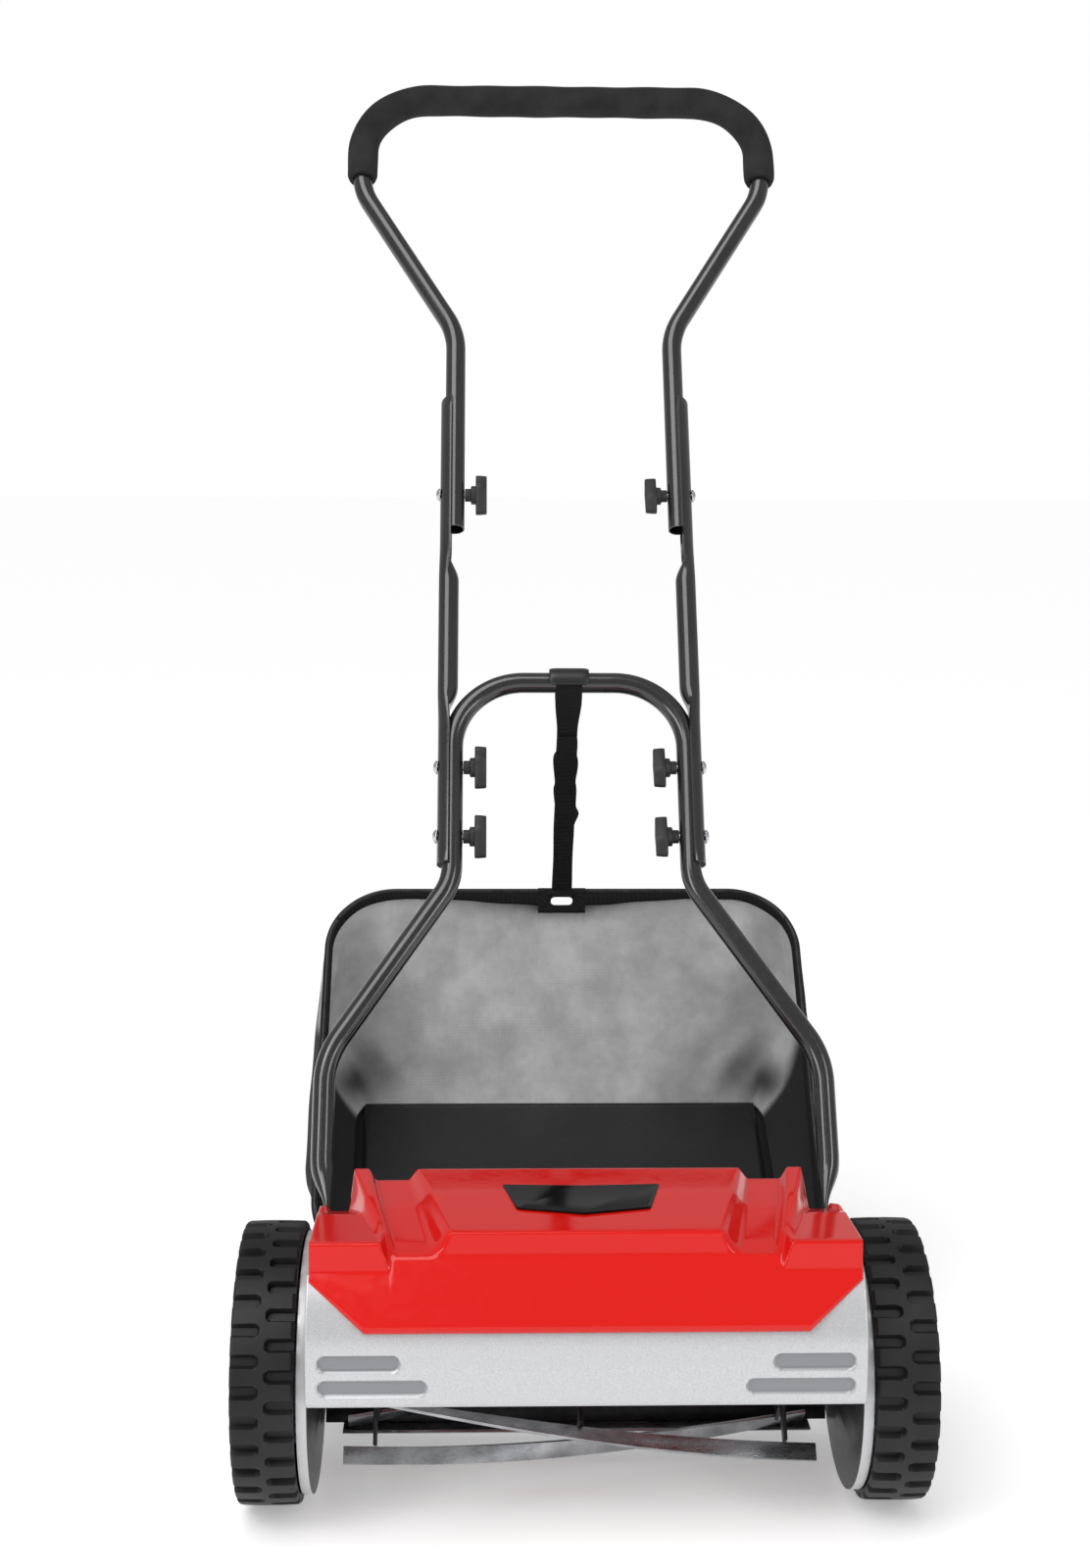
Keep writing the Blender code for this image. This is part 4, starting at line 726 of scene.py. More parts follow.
def swept(path, normal, thick, wide, sides=32):
    """A flattened circle carried along a path: thick is its half along the side, wide along normal."""
    tangent = np.gradient(path, axis=0)
    tangent /= np.linalg.norm(tangent, axis=1)[:, None]
    normal = np.broadcast_to(normal, path.shape)
    normal = normal - tangent * (normal * tangent).sum(1)[:, None]
    normal /= np.linalg.norm(normal, axis=1)[:, None]
    side = np.cross(tangent, normal)
    angle = np.linspace(0, 2 * math.pi, sides, endpoint=False) + math.pi / sides
    thick, wide = (np.broadcast_to(v, len(path))[:, None] * MM for v in (thick, wide))
    a = thick * np.cos(angle)
    b = np.sign(np.sin(angle)) * (wide - thick) + thick * np.sin(angle)
    return path[:, None] + side[:, None] * a[..., None] + normal[:, None] * b[..., None]


def open_tube(path, normal, thick, wide, wall=TUBE_WALL, depth=10, sides=32):
    """A tube whose skin turns in at both ends and runs a little way down its bore."""
    outer = swept(path, normal, thick, wide, sides)
    inner = swept(path, normal, np.asarray(thick) - wall, np.asarray(wide) - wall, sides)
    lip = 0.3
    start = (inner[depth:0:-1], inner[:1], inner[:1] * (1 - lip) + outer[:1] * lip)
    end = (inner[-1:] * (1 - lip) + outer[-1:] * lip, inner[-1:], inner[-2:-depth - 1:-1])
    return np.concatenate((*start, outer, *end))


lower_half = bent([(207.8, -16), (207.8, 62), (215, 98), (215, 191), (WAIST_X, 351),
                   (WAIST_X, ARCH_S), (0, ARCH_S)], [120, 90, 75, 50, 65], 4.0)
lower_flat = both_halves(lower_half)
rounding = smoothstep(60, 96, lower_flat[:, 1])
lower_path = on_handle(lower_flat[:, 0], lower_flat[:, 1])
lower_mesh = skin("lower", open_tube(lower_path, HANDLE_NORMAL, 2.6 + 6.9 * rounding,
                                     13.5 - 4.0 * rounding), around=True, capped=True)
add_piece("bent_lower_handle", lower_mesh, powder, "handle", "lower_handle")

UPPER_CORNERS = [(WAIST_X, 706), (WAIST_X, 926), (204, 1096), (204, 1211), (0, 1211)]
upper_flat = both_halves(bent(UPPER_CORNERS, [75, 72, 68.5], 4.0))
upper_path = on_handle(upper_flat[:, 0], upper_flat[:, 1])
upper_mesh = skin("upper", open_tube(upper_path, HANDLE_NORMAL, TUBE_RADIUS, TUBE_RADIUS), around=True,
                  capped=True)
add_piece("bent_upper_handle", upper_mesh, powder, "handle", "upper_handle")

MID_X, MID_LOW, MID_HIGH = 112.0, 367.0, 850.0
SADDLE_INNER, SADDLE_OUTER, SADDLE_SPAN = TUBE_RADIUS + 0.3, TUBE_RADIUS + 4.3, math.radians(75)


def mid_tube_points(side):
    """A dished section at both ends turns into a round one between them.

    The dish is two arcs about the neighbour's axis; point by point they move to the circle.
    """
    count = 22
    arc = np.linspace(-SADDLE_SPAN, SADDLE_SPAN, count)
    dish = np.vstack((np.column_stack((WAIST_X + SADDLE_OUTER * np.cos(arc), SADDLE_OUTER * np.sin(arc))),
                      np.column_stack((WAIST_X + SADDLE_INNER * np.cos(arc),
                                       SADDLE_INNER * np.sin(arc)))[::-1]))
    round_angle = np.concatenate((np.linspace(-87.5, 87.5, count), np.linspace(92.5, 267.5, count)))
    circle = np.column_stack((MID_X + TUBE_RADIUS * np.cos(np.radians(round_angle)),
                              TUBE_RADIUS * np.sin(np.radians(round_angle))))
    s = np.concatenate(([MID_LOW], np.linspace(MID_LOW + 0.6, 490, 12), np.linspace(495, 545, 20),
                        np.linspace(560, 630, 8), np.linspace(645, 695, 20),
                        np.linspace(700, MID_HIGH - 0.6, 12), [MID_HIGH]))
    share = smoothstep(500, 540, s) * (1 - smoothstep(650, 690, s))
    ring = dish + (circle - dish) * share[:, None, None]
    middle = ring.mean(axis=1, keepdims=True)
    drawn_in = np.ones(len(s))
    drawn_in[[0, -1]] = 0.97
    ring = middle + (ring - middle) * drawn_in[:, None, None]
    slant = np.where(s[:, None] > 840, -0.35 * (ring[..., 0] - WAIST_X), 0.0)
    return on_handle(side * ring[..., 0], s[:, None] + slant, ring[..., 1])


for name, side in SIDES:
    mid_mesh = skin("mid", mid_tube_points(side), around=True, capped=True, crease=45)
    add_piece("dished_mid_tube_" + name, mid_mesh, powder, "handle", "mid_tube_" + name)

# The grip is a sleeve of black nitrile foam, matte and finely pitted, slightly uneven where it is
# stretched round the bends.
foam, tree, shader = finish("black_nitrile_foam", "181818", 0.95, Specular_IOR_Level=0.2)
mottled(tree, shader, 25 * MM, "252525", "303030")
textured(tree, shader, 1.3 * MM, 0.35 * MM, detail=2.0)

FOAM_START, FOAM_RADIUS = 1109.0, 15.5
foam_flat = upper_flat[upper_flat[:, 1] > FOAM_START]
foam_path = on_handle(foam_flat[:, 0], foam_flat[:, 1])
step_count = len(foam_path)
place = np.linspace(0, 1, step_count)
uneven = 0.25 * np.sin(place * 61) + 0.2 * np.sin(place * 23 + 1)
near_end = np.minimum(np.arange(step_count), np.arange(step_count)[::-1]) * 4.0
foam_radius = FOAM_RADIUS + uneven * smoothstep(0, 12, near_end) - 1.8 * (1 - smoothstep(0, 5, near_end))
foam_mesh = skin("foam", open_tube(foam_path, HANDLE_NORMAL, foam_radius, foam_radius,
                                   wall=FOAM_RADIUS - TUBE_RADIUS - 2.3, depth=3, sides=40),
                 around=True, capped=True)
foam_piece = add_piece("foam_sleeve", foam_mesh, foam, "handle", "foam_grip")

# ------------------------------------------------------------------ wing knobs and bolts
# The knobs are dark grey glass-filled nylon with a Z-shaped pair of wings; each screws on a zinc
# coach bolt whose domed head sits on the outside of the tubes.
nylon, tree, shader = finish("grey_nylon", "2C2C2D", 0.5, IOR=1.53, Specular_IOR_Level=0.35)
mottled(tree, shader, 12 * MM, "272728", "323233")
textured(tree, shader, 1.0 * MM, 0.05 * MM, rough=(0.42, 0.6))

WING_HALF = 19.5
WING_OUTLINE = [(WING_HALF, -1.5), (WING_HALF, 5.5), (12.5, 7.0), (9.0, 8.6), (4.0, 9.6),
                (-WING_HALF, 1.5), (-WING_HALF, -5.5), (-12.5, -7.0), (-9.0, -8.6), (-4.0, -9.6)]


def knob_points(root, outward, wing, stud):
    """Rings up the knob's axis: a bore or a stud, a round neck, then the wings' outline.

    Each ring is the outline drawn in by an inset, or a circle at the outline's own angles.
    """
    outline = eased(WING_OUTLINE, 3.0, loop=True, steps=6)
    tangent = np.roll(outline, -1, axis=0) - np.roll(outline, 1, axis=0)
    normal = np.column_stack((tangent[:, 1], -tangent[:, 0]))
    normal /= np.linalg.norm(normal, axis=1)[:, None] + 1e-9
    angle = np.unwrap(np.arctan2(outline[:, 1], outline[:, 0]))
    circle = np.column_stack((np.cos(angle), np.sin(angle)))
    start = [(4.0, -stud), (4.0, 0.0)] if stud else [(3.3, 12.0), (3.3, 0.0)]
    neck = [circle * r for r, _ in start] + [circle * r for r in (5.7, 6.2, 6.2, 8.4, 8.9, 8.9)]
    heights = [h for _, h in start] + [0.0, 0.6, 5.4, 6.0, 6.6, 10.2]
    wings = [(10.3, 1.4), (10.4, 0.5), (10.9, 0.0), (14.5, 0.0), (20.2, 0.5), (20.8, 0.9), (21.0, 1.8)]
    rings = neck + [outline - normal * inset for _, inset in wings] + [circle * 4.6, circle * 4.2]
    heights = heights + [h for h, _ in wings] + [21.0, 20.2]
    third = np.cross(outward, wing)
    flat = np.array(rings)
    height = np.array(heights)[:, None, None]
    return root + (flat[..., :1] * wing + flat[..., 1:] * third + height * outward) * MM


BOLT_PROFILE = [(82.0, 0), (82.0, 3), (121.1, 3), (121.1, 6.4), (121.8, 6.3), (123.4, 5.0), (124.5, 2.8),
                (124.9, 0)]
for clamp in ("low", "middle", "upper"):
    for name, side in SIDES:
        label = "%s_%s" % (clamp, name)
        place = joint_place["knob_%s_turn" % label]
        root = np.array((side * (WAIST_X - TUBE_RADIUS - 0.3) * MM, place[1], place[2]))
        points = knob_points(root, np.array((-side, 0.0, 0.0)), HANDLE_UP, 0.0)
        knob_mesh = skin("knob", points, around=True, capped=True, crease=50)
        add_piece("winged_knob_" + label, knob_mesh, nylon, "knob_" + label, "knob_" + label)
        turned_piece("coach_bolt_" + label, BOLT_PROFILE, place, side, zinc, "handle", "bolt_" + label,
                     segments=40)

PIVOT_BOLT = [(200.6, 0), (200.9, 6), (202.0, 7), (204.6, 7), (204.6, 4), (219.3, 4), (219.3, 0)]
for name, side in SIDES:
    place = joint_place["height_knob_%s_turn" % name]
    root = np.array((side * 219.8 * MM, place[1], place[2]))
    points = knob_points(root, np.array((side, 0.0, 0.0)), np.array((0.0, 0.0, 1.0)), 12.0)
    add_piece("winged_height_knob_" + name, skin("knob", points, around=True, capped=True, crease=50),
              nylon, "height_knob_" + name, "height_knob_" + name)
    turned_piece("domed_pivot_bolt_" + name, PIVOT_BOLT, PIVOT, side, zinc, "chassis",
                 "pivot_bolt_" + name, segments=40)

# ------------------------------------------------------------------ grass bag
# The bag is sewn from woven polyester, grey behind and black at the sides, bound with black tape
# over a wire mouth frame that hooks on the rear bar. A black plastic sheet stiffens its floor.
BAG_FRONT, BAG_RIM, BAG_HEEL = np.array((196.0, 96.0)), np.array((484.0, 389.0)), np.array((498.0, 160.0))
FRONT_X, RIM_X, FLOOR_X, LIP_DROP = 199.0, 236.0, 209.0, 14.0
MOUTH_CORNER, MOUTH_SHOULDER, WIRE_RADIUS = 66.0, 60.0, 2.5
MOUTH_LENGTH = float(np.linalg.norm(BAG_RIM - BAG_FRONT))
MOUTH_NORMAL = np.array((0.0, -(BAG_RIM - BAG_FRONT)[1], (BAG_RIM - BAG_FRONT)[0])) / MOUTH_LENGTH
FROM_AXLE = np.array((0.0, AXLE[1], 0.0))

EDGE_X = RIM_X - WIRE_RADIUS
mouth_flat = both_halves(bent([(FRONT_X, 0), (EDGE_X, MOUTH_SHOULDER), (EDGE_X, MOUTH_LENGTH),
                               (0, MOUTH_LENGTH)], [70, MOUTH_CORNER], 3.5))
mouth_x, mouth_up = mouth_flat[:, 0], mouth_flat[:, 1] / MOUTH_LENGTH


def mouth_points(x, up):
    """Points of the mouth's sloping plane in mm, up it from the hooks to the rim."""
    yz = BAG_FRONT + np.asarray(up)[..., None] * (BAG_RIM - BAG_FRONT)
    return np.concatenate((np.asarray(x)[..., None], yz), -1)


def floor_points(share, across=1.0):
    """Points along the floor in mm, from its front lip to its heel; across runs from -1 to 1."""
    share, across = np.broadcast_arrays(share, across)
    lip = BAG_FRONT - (0, LIP_DROP)
    yz = lip + share[..., None] * (BAG_HEEL - lip)
    x = across * (FRONT_X + (FLOOR_X - FRONT_X) * share)
    return np.concatenate((x[..., None], yz), -1)


mouth_edge = mouth_points(mouth_x, mouth_up)
floor_share = np.minimum(mouth_up / 0.93, 1.0)
floor_edge = floor_points(floor_share, np.where(mouth_up < 0.5, np.sign(mouth_x), mouth_x / EDGE_X))
down_wall = floor_edge - mouth_edge
wall_height = np.linalg.norm(down_wall, axis=1)
down_wall /= wall_height[:, None]
along = np.gradient(mouth_flat, axis=0)
along /= np.linalg.norm(along, axis=1)[:, None]
outward = np.column_stack((along[:, 1], -along[:, 0], np.zeros(len(along))))
arc_length = np.concatenate(([0], np.cumsum(np.linalg.norm(np.diff(mouth_edge, axis=0), axis=1))))
middle_arc = arc_length[-1] / 2

SLOT_HALF, SLOT_DROP = 26.0, 18.0


def wall_points(rows=64):
    """The cloth between the mouth's edge and the floor's, blown out by a bulge and rippled by folds.

    The bulge is half a sine wave down the wall, as deep as a share of its height.  Long ripples run
    across it, and short sharp folds fan out of the two lower back corners.  It also returns how dark
    the cloth is painted: black cloth at the sides, a painted shadow in each lower back corner and
    painted shade near the strap at the top of the back.
    """
    start = SLOT_DROP / wall_height * (1 - smoothstep(SLOT_HALF - 4, SLOT_HALF, np.abs(mouth_x)))
    start = np.where(mouth_up > 0.99, start, 0.0)
    b = start[:, None] + (1 - start[:, None]) * np.linspace(0, 1, rows)[None, :]
    a = arc_length[:, None] - middle_arc
    top, low = mouth_edge[:, None], floor_edge[:, None]
    side_share = smoothstep(RIM_X - 60, RIM_X - 20, np.abs(mouth_x))[:, None]
    depth = wall_height[:, None] * 0.05 * (1 - side_share)
    belly = 25.0 * side_share * np.clip(mouth_up[:, None] / 0.3, 0, 1)
    belly = belly * np.clip(wall_height[:, None] / 90, 0, 1)
    bulge = (depth + belly) * np.sin(math.pi * b) ** 0.8
    fade = np.sqrt(np.clip(np.sin(math.pi * b), 0, 1)) * np.clip(wall_height[:, None] / 200, 0, 1)
    ripple = 2.4 * np.sin(a / 92 + 1.3 + 1.5 * b) * np.sin(4.4 * b + 0.6) + 1.3 * np.sin(a / 41 - 5 * b)
    ripple = ripple + 0.7 * np.sin(a / 17 + 9 * b + 0.6 * np.sin(a / 60)) * (1 - b)
    off = np.abs(a) - (RIM_X - 16)
    fan = np.exp(-(off / 40) ** 2 - ((b - 0.8) / 0.15) ** 2)
    folds = 6.5 * fan * np.sin(off / 8.5 + 11 * b)
    crease = -5.0 * np.exp(-((off - 14 - 55 * (b - 0.2)) / 5.5) ** 2 - ((b - 0.25) / 0.14) ** 2)
    push = (bulge + (ripple + folds + crease) * fade)[..., None] * outward[:, None]
    sag = -3.0 * np.sin(math.pi * b) * np.clip(wall_height[:, None] / 200, 0, 1)
    points = top * (1 - b[..., None]) + low * b[..., None] + push
    points[..., 2] += sag
    # Painted shadow: a dark patch in each lower back corner stands in for the shade of the folds there.
    shadow = 0.9 * np.exp(-((np.abs(a) - 232) / 36) ** 2 - ((b - 0.86) / 0.12) ** 2)
    side = smoothstep(RIM_X + 8, RIM_X + 34, np.abs(a)) * smoothstep(
        0.42, 0.6, b + 1.5 * (1 - mouth_up[:, None]) + 0.06 * np.sin(a / 15 + 8 * b))
    # Painted shade: a dark band at the top of the back wall near the strap.
    painted_shade_by_strap = 0.9 * np.exp(-(a / 80) ** 2 - ((b - 0.03) / 0.06) ** 2)
    return points, np.clip(np.maximum(np.maximum(side, shadow), painted_shade_by_strap), 0, 1), a, b


cloth, tree, shader = finish("woven_polyester", "C6C6C6", 0.85, IOR=1.5)
place = add_node(tree, "ShaderNodeTexCoord")
patches = add_node(tree, "ShaderNodeTexNoise",
                   {"Vector": place.outputs["Object"], "Scale": 1 / (38 * MM), "Detail": 7.0,
                    "Roughness": 0.62})
greys = add_node(tree, "ShaderNodeValToRGB", {"Fac": patches.outputs["Fac"]})
greys.color_ramp.elements[0].position, greys.color_ramp.elements[0].color = 0.33, linear("C0C0C0")
greys.color_ramp.elements[1].position, greys.color_ramp.elements[1].color = 0.68, linear("E2E2E2")
# The threads are under half a millimetre apart; they are drawn at 1.6 mm so that they show.
THREAD = 1.6 * MM
warp, weft = (add_node(tree, "ShaderNodeTexWave",
                       {"Vector": place.outputs["UV"], "Scale": 0.314 / THREAD, "Distortion": 0.6,
                        "Detail": 1.0, "Detail Scale": 2.0}, bands_direction=axis) for axis in "XY")
threads = add_node(tree, "ShaderNodeMath", {0: warp.outputs["Fac"], 1: weft.outputs["Fac"]},
                   operation="MULTIPLY")
relief = add_node(tree, "ShaderNodeBump", {"Height": threads.outputs[0], "Distance": 0.25 * MM})
tree.links.new(relief.outputs["Normal"], shader.inputs["Normal"])
# The "dark" mask turns the grey to black: the real black side cloth, plus the painted shadow and painted
# shade from wall_points.
black_cloth_and_painted_shade = add_node(tree, "ShaderNodeAttribute", attribute_name="dark").outputs["Fac"]
weave_shade = add_node(tree, "ShaderNodeMapRange",
                       {"Value": threads.outputs[0], "To Min": 0.86, "To Max": 1.06})
tinted = add_node(tree, "ShaderNodeMix", data_type="RGBA", blend_type="MIX")
tree.links.new(black_cloth_and_painted_shade, tinted.inputs[0])
tree.links.new(greys.outputs["Color"], tinted.inputs[6])
tinted.inputs[7].default_value = linear("1B1B1C")
woven = add_node(tree, "ShaderNodeVectorMath", {0: tinted.outputs[2]}, operation="SCALE")
tree.links.new(weave_shade.outputs["Result"], woven.inputs["Scale"])
tree.links.new(woven.outputs["Vector"], shader.inputs["Base Color"])

points, dark, a, b = wall_points()
uv = np.stack((a + 0 * b, b * wall_height[:, None]), -1) * MM
wall_mesh = skin("walls", points * MM + FROM_AXLE, closed=False, uv=uv, crease=80)
# The "dark" attribute carries the black side cloth together with the painted fold shadows and painted shade
# near the strap.
wall_mesh.attributes.new("dark", "FLOAT", "POINT").data.foreach_set("value", dark.ravel())
bag_walls = add_piece("sewn_bag_walls", wall_mesh, cloth, "bag", "bag_cloth")
thickened(bag_walls, 0.8 * MM, 0.0)

across, deep = np.linspace(-1, 1, 70)[None, :], np.linspace(0, 1, 50)[:, None]
under = floor_points(deep, across)
under[..., 2] -= 4.0 * np.sin(math.pi * deep) * (1 - across ** 4) + 0.8 * np.sin(across * 19) * np.sin(
    math.pi * deep)
uv = np.stack((under[..., 0], under[..., 1]), -1) * MM
under_mesh = skin("under", under * MM + FROM_AXLE, closed=False, uv=uv, crease=80)
under_mesh.attributes.new("dark", "FLOAT", "POINT").data.foreach_set("value", np.ones(under[..., 0].size))
bag_under = add_piece("sewn_bag_bottom", under_mesh, cloth, "bag", slot="bag_fabric")
thickened(bag_under, 0.8 * MM, 0.0)

# Black polypropylene sheet with a faint orange-peel skin; its front edge is curled down.
sheet_plastic, tree, shader = finish("black_polypropylene", "161617", 0.42, IOR=1.49)
mottled(tree, shader, 60 * MM, "131314", "1A1A1B")
textured(tree, shader, 3.5 * MM, 0.08 * MM, rough=(0.36, 0.5))
tray = floor_points(0.02 + 0.965 * deep, across * 0.965)
tray[..., 2] += 3.4 + 1.2 * np.abs(across) ** 6 - 4.0 * (1 - smoothstep(0.0, 0.03, deep))
tray_mesh = skin("tray", tray * MM + FROM_AXLE, closed=False)
bag_tray = add_piece("plastic_bag_floor", tray_mesh, sheet_plastic, "bag", "bag_floor")
thickened(bag_tray, 1.6 * MM, 0.0)

# The wire frame: a hook over the rear bar at each end, then up the mouth's edge and across.
hook_radius = 6.0 + WIRE_RADIUS + 0.6
hook_angle = np.radians(np.linspace(205, 45, 24))
hooks = np.column_stack((np.full(24, FRONT_X), REAR_BAR[1] / MM + hook_radius * np.cos(hook_angle),
                         REAR_BAR[2] / MM + hook_radius * np.sin(hook_angle))) * MM
wire_half = mouth_edge[:len(mouth_edge) // 2 + 1] + MOUTH_NORMAL * (WIRE_RADIUS + 1.4)
wire_path = both_halves(np.vstack((hooks, (wire_half * MM + FROM_AXLE)[2:])))
wire_normal = np.tile((1.0, 0.0, 0.0), (len(wire_path), 1))
flat_run = np.abs(np.gradient(wire_path, axis=0)[:, 0]) > 0.5 * np.linalg.norm(
    np.gradient(wire_path, axis=0), axis=1)
wire_normal[flat_run] = (0.0, 0.0, 1.0)
wire_mesh = skin("wire", swept(wire_path, wire_normal, WIRE_RADIUS, WIRE_RADIUS, 16), around=True,
                 capped=True)
add_piece("bent_bag_wire", wire_mesh, phosphated, "bag", "bag_frame")

# Black woven binding tape, 12 mm wide and doubled round the slot below the strap.
tape, tree, shader = finish("black_woven_tape", "0C0C0C", 0.8, Specular_IOR_Level=0.3)
place = add_node(tree, "ShaderNodeTexCoord")
ribs = add_node(tree, "ShaderNodeTexWave", {"Vector": place.outputs["UV"], "Scale": 0.314 / (2.4 * MM),
                                            "Distortion": 1.2, "Detail": 2.0}, bands_direction="DIAGONAL")
shades = add_node(tree, "ShaderNodeValToRGB", {"Fac": ribs.outputs["Fac"]})
shades.color_ramp.elements[0].color, shades.color_ramp.elements[1].color = linear("070707"), linear("121213")
tree.links.new(shades.outputs["Color"], shader.inputs["Base Color"])
relief = add_node(tree, "ShaderNodeBump", {"Height": ribs.outputs["Fac"], "Distance": 0.3 * MM})
tree.links.new(relief.outputs["Normal"], shader.inputs["Normal"])


def band(path, direction, thick, wide, sides=24):
    """A flat tape along a path with its UV in metres: along the run, and round its section."""
    rings = swept(path, direction, thick, wide, sides)
    run = np.concatenate(([0], np.cumsum(np.linalg.norm(np.diff(path, axis=0), axis=1))))
    round_run = np.linspace(0, 4 * float(np.mean(wide)) * MM, sides + 1)
    uv = np.stack(np.broadcast_arrays(run[:, None], round_run[None, :]), -1)
    return rings, uv


waviness = 0.5 * np.sin(arc_length / 21) + 0.35 * np.sin(arc_length / 9.0)
rim_only = smoothstep(0.97, 0.999, mouth_up)
half_height = 5.6 + 3.6 * np.exp(-(mouth_x / 75) ** 2) * rim_only + 0.5 * waviness
tape_line = mouth_edge + MOUTH_NORMAL * 2.2 + down_wall * (half_height - 3.4)[:, None]
tape_line += outward * (0.3 * waviness)[:, None]
SLOT_PATCH = 21.0
keep = np.abs(mouth_x) > SLOT_PATCH
keep |= mouth_up < 0.9
first_gap = int(np.argmin(keep))
last_gap = len(keep) - int(np.argmin(keep[::-1]))
for label, part in (("right", slice(0, first_gap + 1)), ("left", slice(last_gap - 1, None))):
    rings, uv = band(tape_line[part] * MM + FROM_AXLE, down_wall[part], 3.7, half_height[part])
    mesh = skin("binding", rings, around=True, capped=True, closed=False, uv=uv, crease=70)
    add_piece("tape_binding_" + label, mesh, tape, "bag", slot="strap_webbing")

# The patch round the strap's slot: rings run from its outline in to the slot and out behind it.
middle_column = len(mouth_x) // 2
patch_height = 25.0
ring_angle = np.linspace(0, 2 * math.pi, 72, endpoint=False)
boxy = np.maximum(np.abs(np.cos(ring_angle)), np.abs(np.sin(ring_angle)))
outer = np.column_stack((np.cos(ring_angle) / boxy * (SLOT_PATCH + 3),
                         np.sin(ring_angle) / boxy * patch_height / 2))
pill = np.column_stack((np.clip(outer[:, 0] * 1.2, -6.4, 6.4) + 4.6 * np.cos(ring_angle),
                        4.8 * np.sign(np.sin(ring_angle)) * np.abs(np.sin(ring_angle)) ** 0.7 + 0.6))
patch_middle = tape_line[middle_column] + down_wall[middle_column] * (patch_height / 2 - 9.2)
patch_rows = [(outer * (1, 0.93), -4.0), (outer * 0.5 + pill * 0.5, -4.3), (pill * 1.06, -4.0), (pill, -3.2),
              (pill, 3.2), (pill * 1.06, 4.0), (outer * (1, 0.93), 4.0), (outer, 3.2), (outer, -3.2),
              (outer * (1, 0.93), -4.0)]
patch = np.array([patch_middle + ring[:, :1] * (1, 0, 0) + ring[:, 1:] * down_wall[middle_column]
                  + level * np.array((0, 1, 0)) for ring, level in patch_rows])
patch_uv = np.stack(np.broadcast_arrays(ring_angle[None, :] * 0.01,
                                        np.arange(len(patch_rows))[:, None] * 0.004), -1)
patch_uv = np.concatenate((patch_uv, patch_uv[:, -1:]), axis=1)
patch_mesh = skin("patch", patch * MM + FROM_AXLE, around=True, closed=True, uv=patch_uv, crease=60)
add_piece("slot_patch", patch_mesh, tape, "bag", slot="strap_webbing")

# A piped seam joins the walls to the bottom all the way round.
seam_path = floor_edge * MM + FROM_AXLE
seam_normal = np.tile((0.0, 0.0, 1.0), (len(seam_path), 1))
rings, uv = band(seam_path, seam_normal, 1.7, 2.6, 12)
seam_mesh = skin("seam", rings, around=True, capped=True, closed=False, uv=uv, crease=70)
add_piece("piped_floor_seam", seam_mesh, tape, "bag", slot="strap_webbing")
lip_line = floor_points(0.0, np.linspace(-1, 1, 80)) + (0, 0, 0.4)
rings, uv = band(lip_line * MM + FROM_AXLE, np.array((0.0, 0.0, 1.0)), 1.9, 4.2, 12)
lip_mesh = skin("lip", rings, around=True, capped=True, closed=False, uv=uv, crease=70)
add_piece("bound_front_lip", lip_mesh, tape, "bag", slot="strap_webbing")

# ------------------------------------------------------------------ strap
# A black polypropylene webbing strap loops over the arch through a plastic keeper, holds up the
# bag's rim, and has its slack folded up and tucked through a slide half way down.
rim_top = mouth_edge[middle_column] + MOUTH_NORMAL * (2 * WIRE_RADIUS + 1.7)
rim_top = rim_top * MM + FROM_AXLE
STRAP_DOWN = (rim_top - ARCH) / np.linalg.norm(rim_top - ARCH)
STRAP_BACK = np.array((0.0, -STRAP_DOWN[2], STRAP_DOWN[1]))
STRAP_LENGTH = float(np.linalg.norm(rim_top - ARCH)) / MM


def strap_place(along, behind, across=0.0):
    """Points in mm down the strap from the arch's axis, behind it and across."""
    along, behind, across = np.broadcast_arrays(along, behind, across)
    flat = along[..., None] * STRAP_DOWN + behind[..., None] * STRAP_BACK
    flat[..., 0] += across
    return ARCH + flat * MM


def smoothed(path, rounds):
    """A path drawn through the means of its neighbours, its ends held."""
    path = np.array(path, float)
    for _ in range(rounds):
        path[1:-1] = (path[:-2] + 2 * path[1:-1] + path[2:]) / 4
    return path


def evenly(path, step):
    """A path's points moved to even steps."""
    run = np.concatenate(([0], np.cumsum(np.linalg.norm(np.diff(path, axis=0), axis=1))))
    t = np.linspace(0, run[-1], int(run[-1] / step) + 1)
    return np.column_stack([np.interp(t, run, column) for column in np.array(path).T])


WRAP = TUBE_RADIUS + 1.2
wrap_angle = np.radians(np.linspace(104, -104, 40))
wrap = np.column_stack((-WRAP * np.cos(wrap_angle), WRAP * np.sin(wrap_angle)))
strap_flat = np.vstack(([(48, 1.6)], [(30, 4.0)], wrap, [(30, -4.0)], [(48, -0.9)],
                        [(120, 0.6)], [(200, 0.9)], [(STRAP_LENGTH - 1.0, 0.0)]))
strap_flat = smoothed(evenly(strap_flat, 2.0), 6)
strap_path = strap_place(strap_flat[:, 0], strap_flat[:, 1])
strap_width = 10.0 + 2.2 * (1 - smoothstep(14, 60, strap_flat[:, 0])) + 0.25 * np.sin(strap_flat[:, 0] / 13)
rings, uv = band(strap_path, np.array((1.0, 0.0, 0.0)), 0.8, strap_width)
strap_mesh = skin("strap", rings, around=True, capped=True, closed=False, uv=uv, crease=60)
add_piece("webbing_strap", strap_mesh, tape, "strap", "strap")

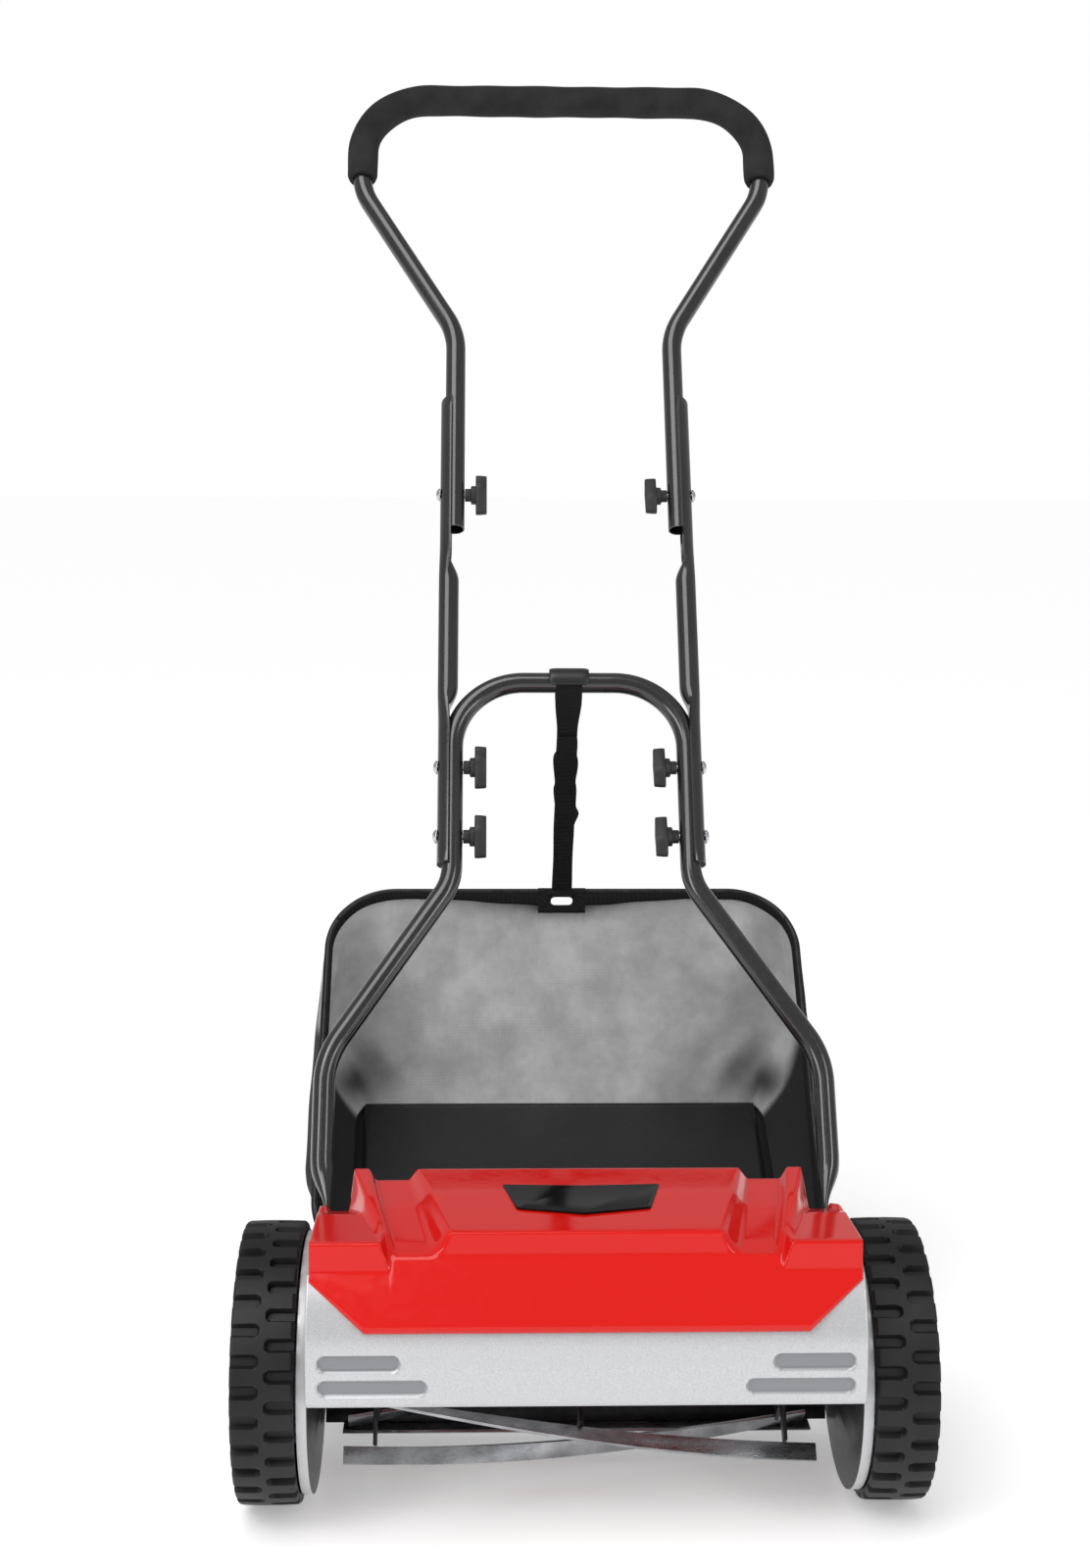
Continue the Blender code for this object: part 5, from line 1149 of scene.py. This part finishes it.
# The slack is the same webbing, folded on itself three times and twisted a little.
t = np.linspace(0, 1, 110)
slack_along = 62 + 116 * t + 3.0 * np.sin(t * 2 * math.pi * 3)
slack_behind = -3.0 - 1.8 * (0.5 - 0.5 * np.cos(t * 2 * math.pi * 3)) * np.sin(math.pi * t) ** 0.4
slack_across = 0.6 * np.sin(t * 9) + 1.4 * np.exp(-((t - 0.85) / 0.1) ** 2)
slack_across = slack_across - 1.2 * np.exp(-((t - 0.25) / 0.1) ** 2)
slack_wide = 10.8 + 0.5 * np.sin(t * 21 + 1) + 1.7 * np.exp(-((t - 0.87) / 0.07) ** 2)
slack_wide = slack_wide + 1.3 * np.exp(-((t - 0.27) / 0.08) ** 2)
slack_path = strap_place(slack_along, slack_behind, slack_across)
lean = np.column_stack((np.ones(110), 0.16 * np.sin(t * 17), 0.12 * np.sin(t * 11 + 2)))
rings, uv = band(slack_path, lean, 0.9, slack_wide * (0.75 + 0.25 * np.sin(math.pi * t) ** 0.3))
slack_mesh = skin("slack", rings, around=True, capped=True, closed=False, uv=uv, crease=60)
add_piece("folded_slack", slack_mesh, tape, "strap", slot="strap_webbing")

# The keeper is a black acetal moulding that sits on top of the arch and holds the strap there.
acetal, tree, shader = finish("black_acetal", "1D1D1E", 0.35, IOR=1.48)
textured(tree, shader, 1.2 * MM, 0.03 * MM, rough=(0.3, 0.42))

KEEPER_HALF = 18.0
keeper_angle = np.radians(np.linspace(58, -58, 36))[:, None]
keeper_across = np.linspace(-1, 1, 41)[None, :]
keeper_width = KEEPER_HALF - 2.5 * smoothstep(44, 58, np.abs(np.degrees(keeper_angle)))
raised = TUBE_RADIUS + 3.4 - 1.2 * np.abs(keeper_across) ** 10
keeper = strap_place(-raised * np.cos(keeper_angle), raised * np.sin(keeper_angle),
                     keeper_width * keeper_across)
keeper_piece = add_piece("strap_keeper", skin("keeper", keeper, closed=False, crease=50), acetal, "strap",
                         slot="knob_plastic")
thickened(keeper_piece, 1.8 * MM, 0.0)

# A short tab of the same webbing is sewn over the rim, and the strap's end is stitched to it.
tab_angle = np.radians(np.linspace(-80, 80, 16))
tab_flat = np.vstack(([(9.0, -5.4)], np.column_stack((-4.6 * np.cos(tab_angle), 5.2 * np.sin(tab_angle))),
                      [(9.0, 5.4)]))
tab_flat = smoothed(evenly(tab_flat, 0.8), 3)
tab_path = (patch_middle - down_wall[middle_column] * (patch_height / 2 - 3.2)
            + tab_flat[:, :1] * down_wall[middle_column] * 0.45 + tab_flat[:, 1:] * np.array((0, 1, 0)))
rings, uv = band(tab_path * MM + FROM_AXLE, np.array((1.0, 0.0, 0.0)), 0.8, 10.5)
tab_mesh = skin("tab", rings, around=True, capped=True, closed=False, uv=uv, crease=60)
add_piece("sewn_strap_tab", tab_mesh, tape, "bag", slot="strap_webbing")
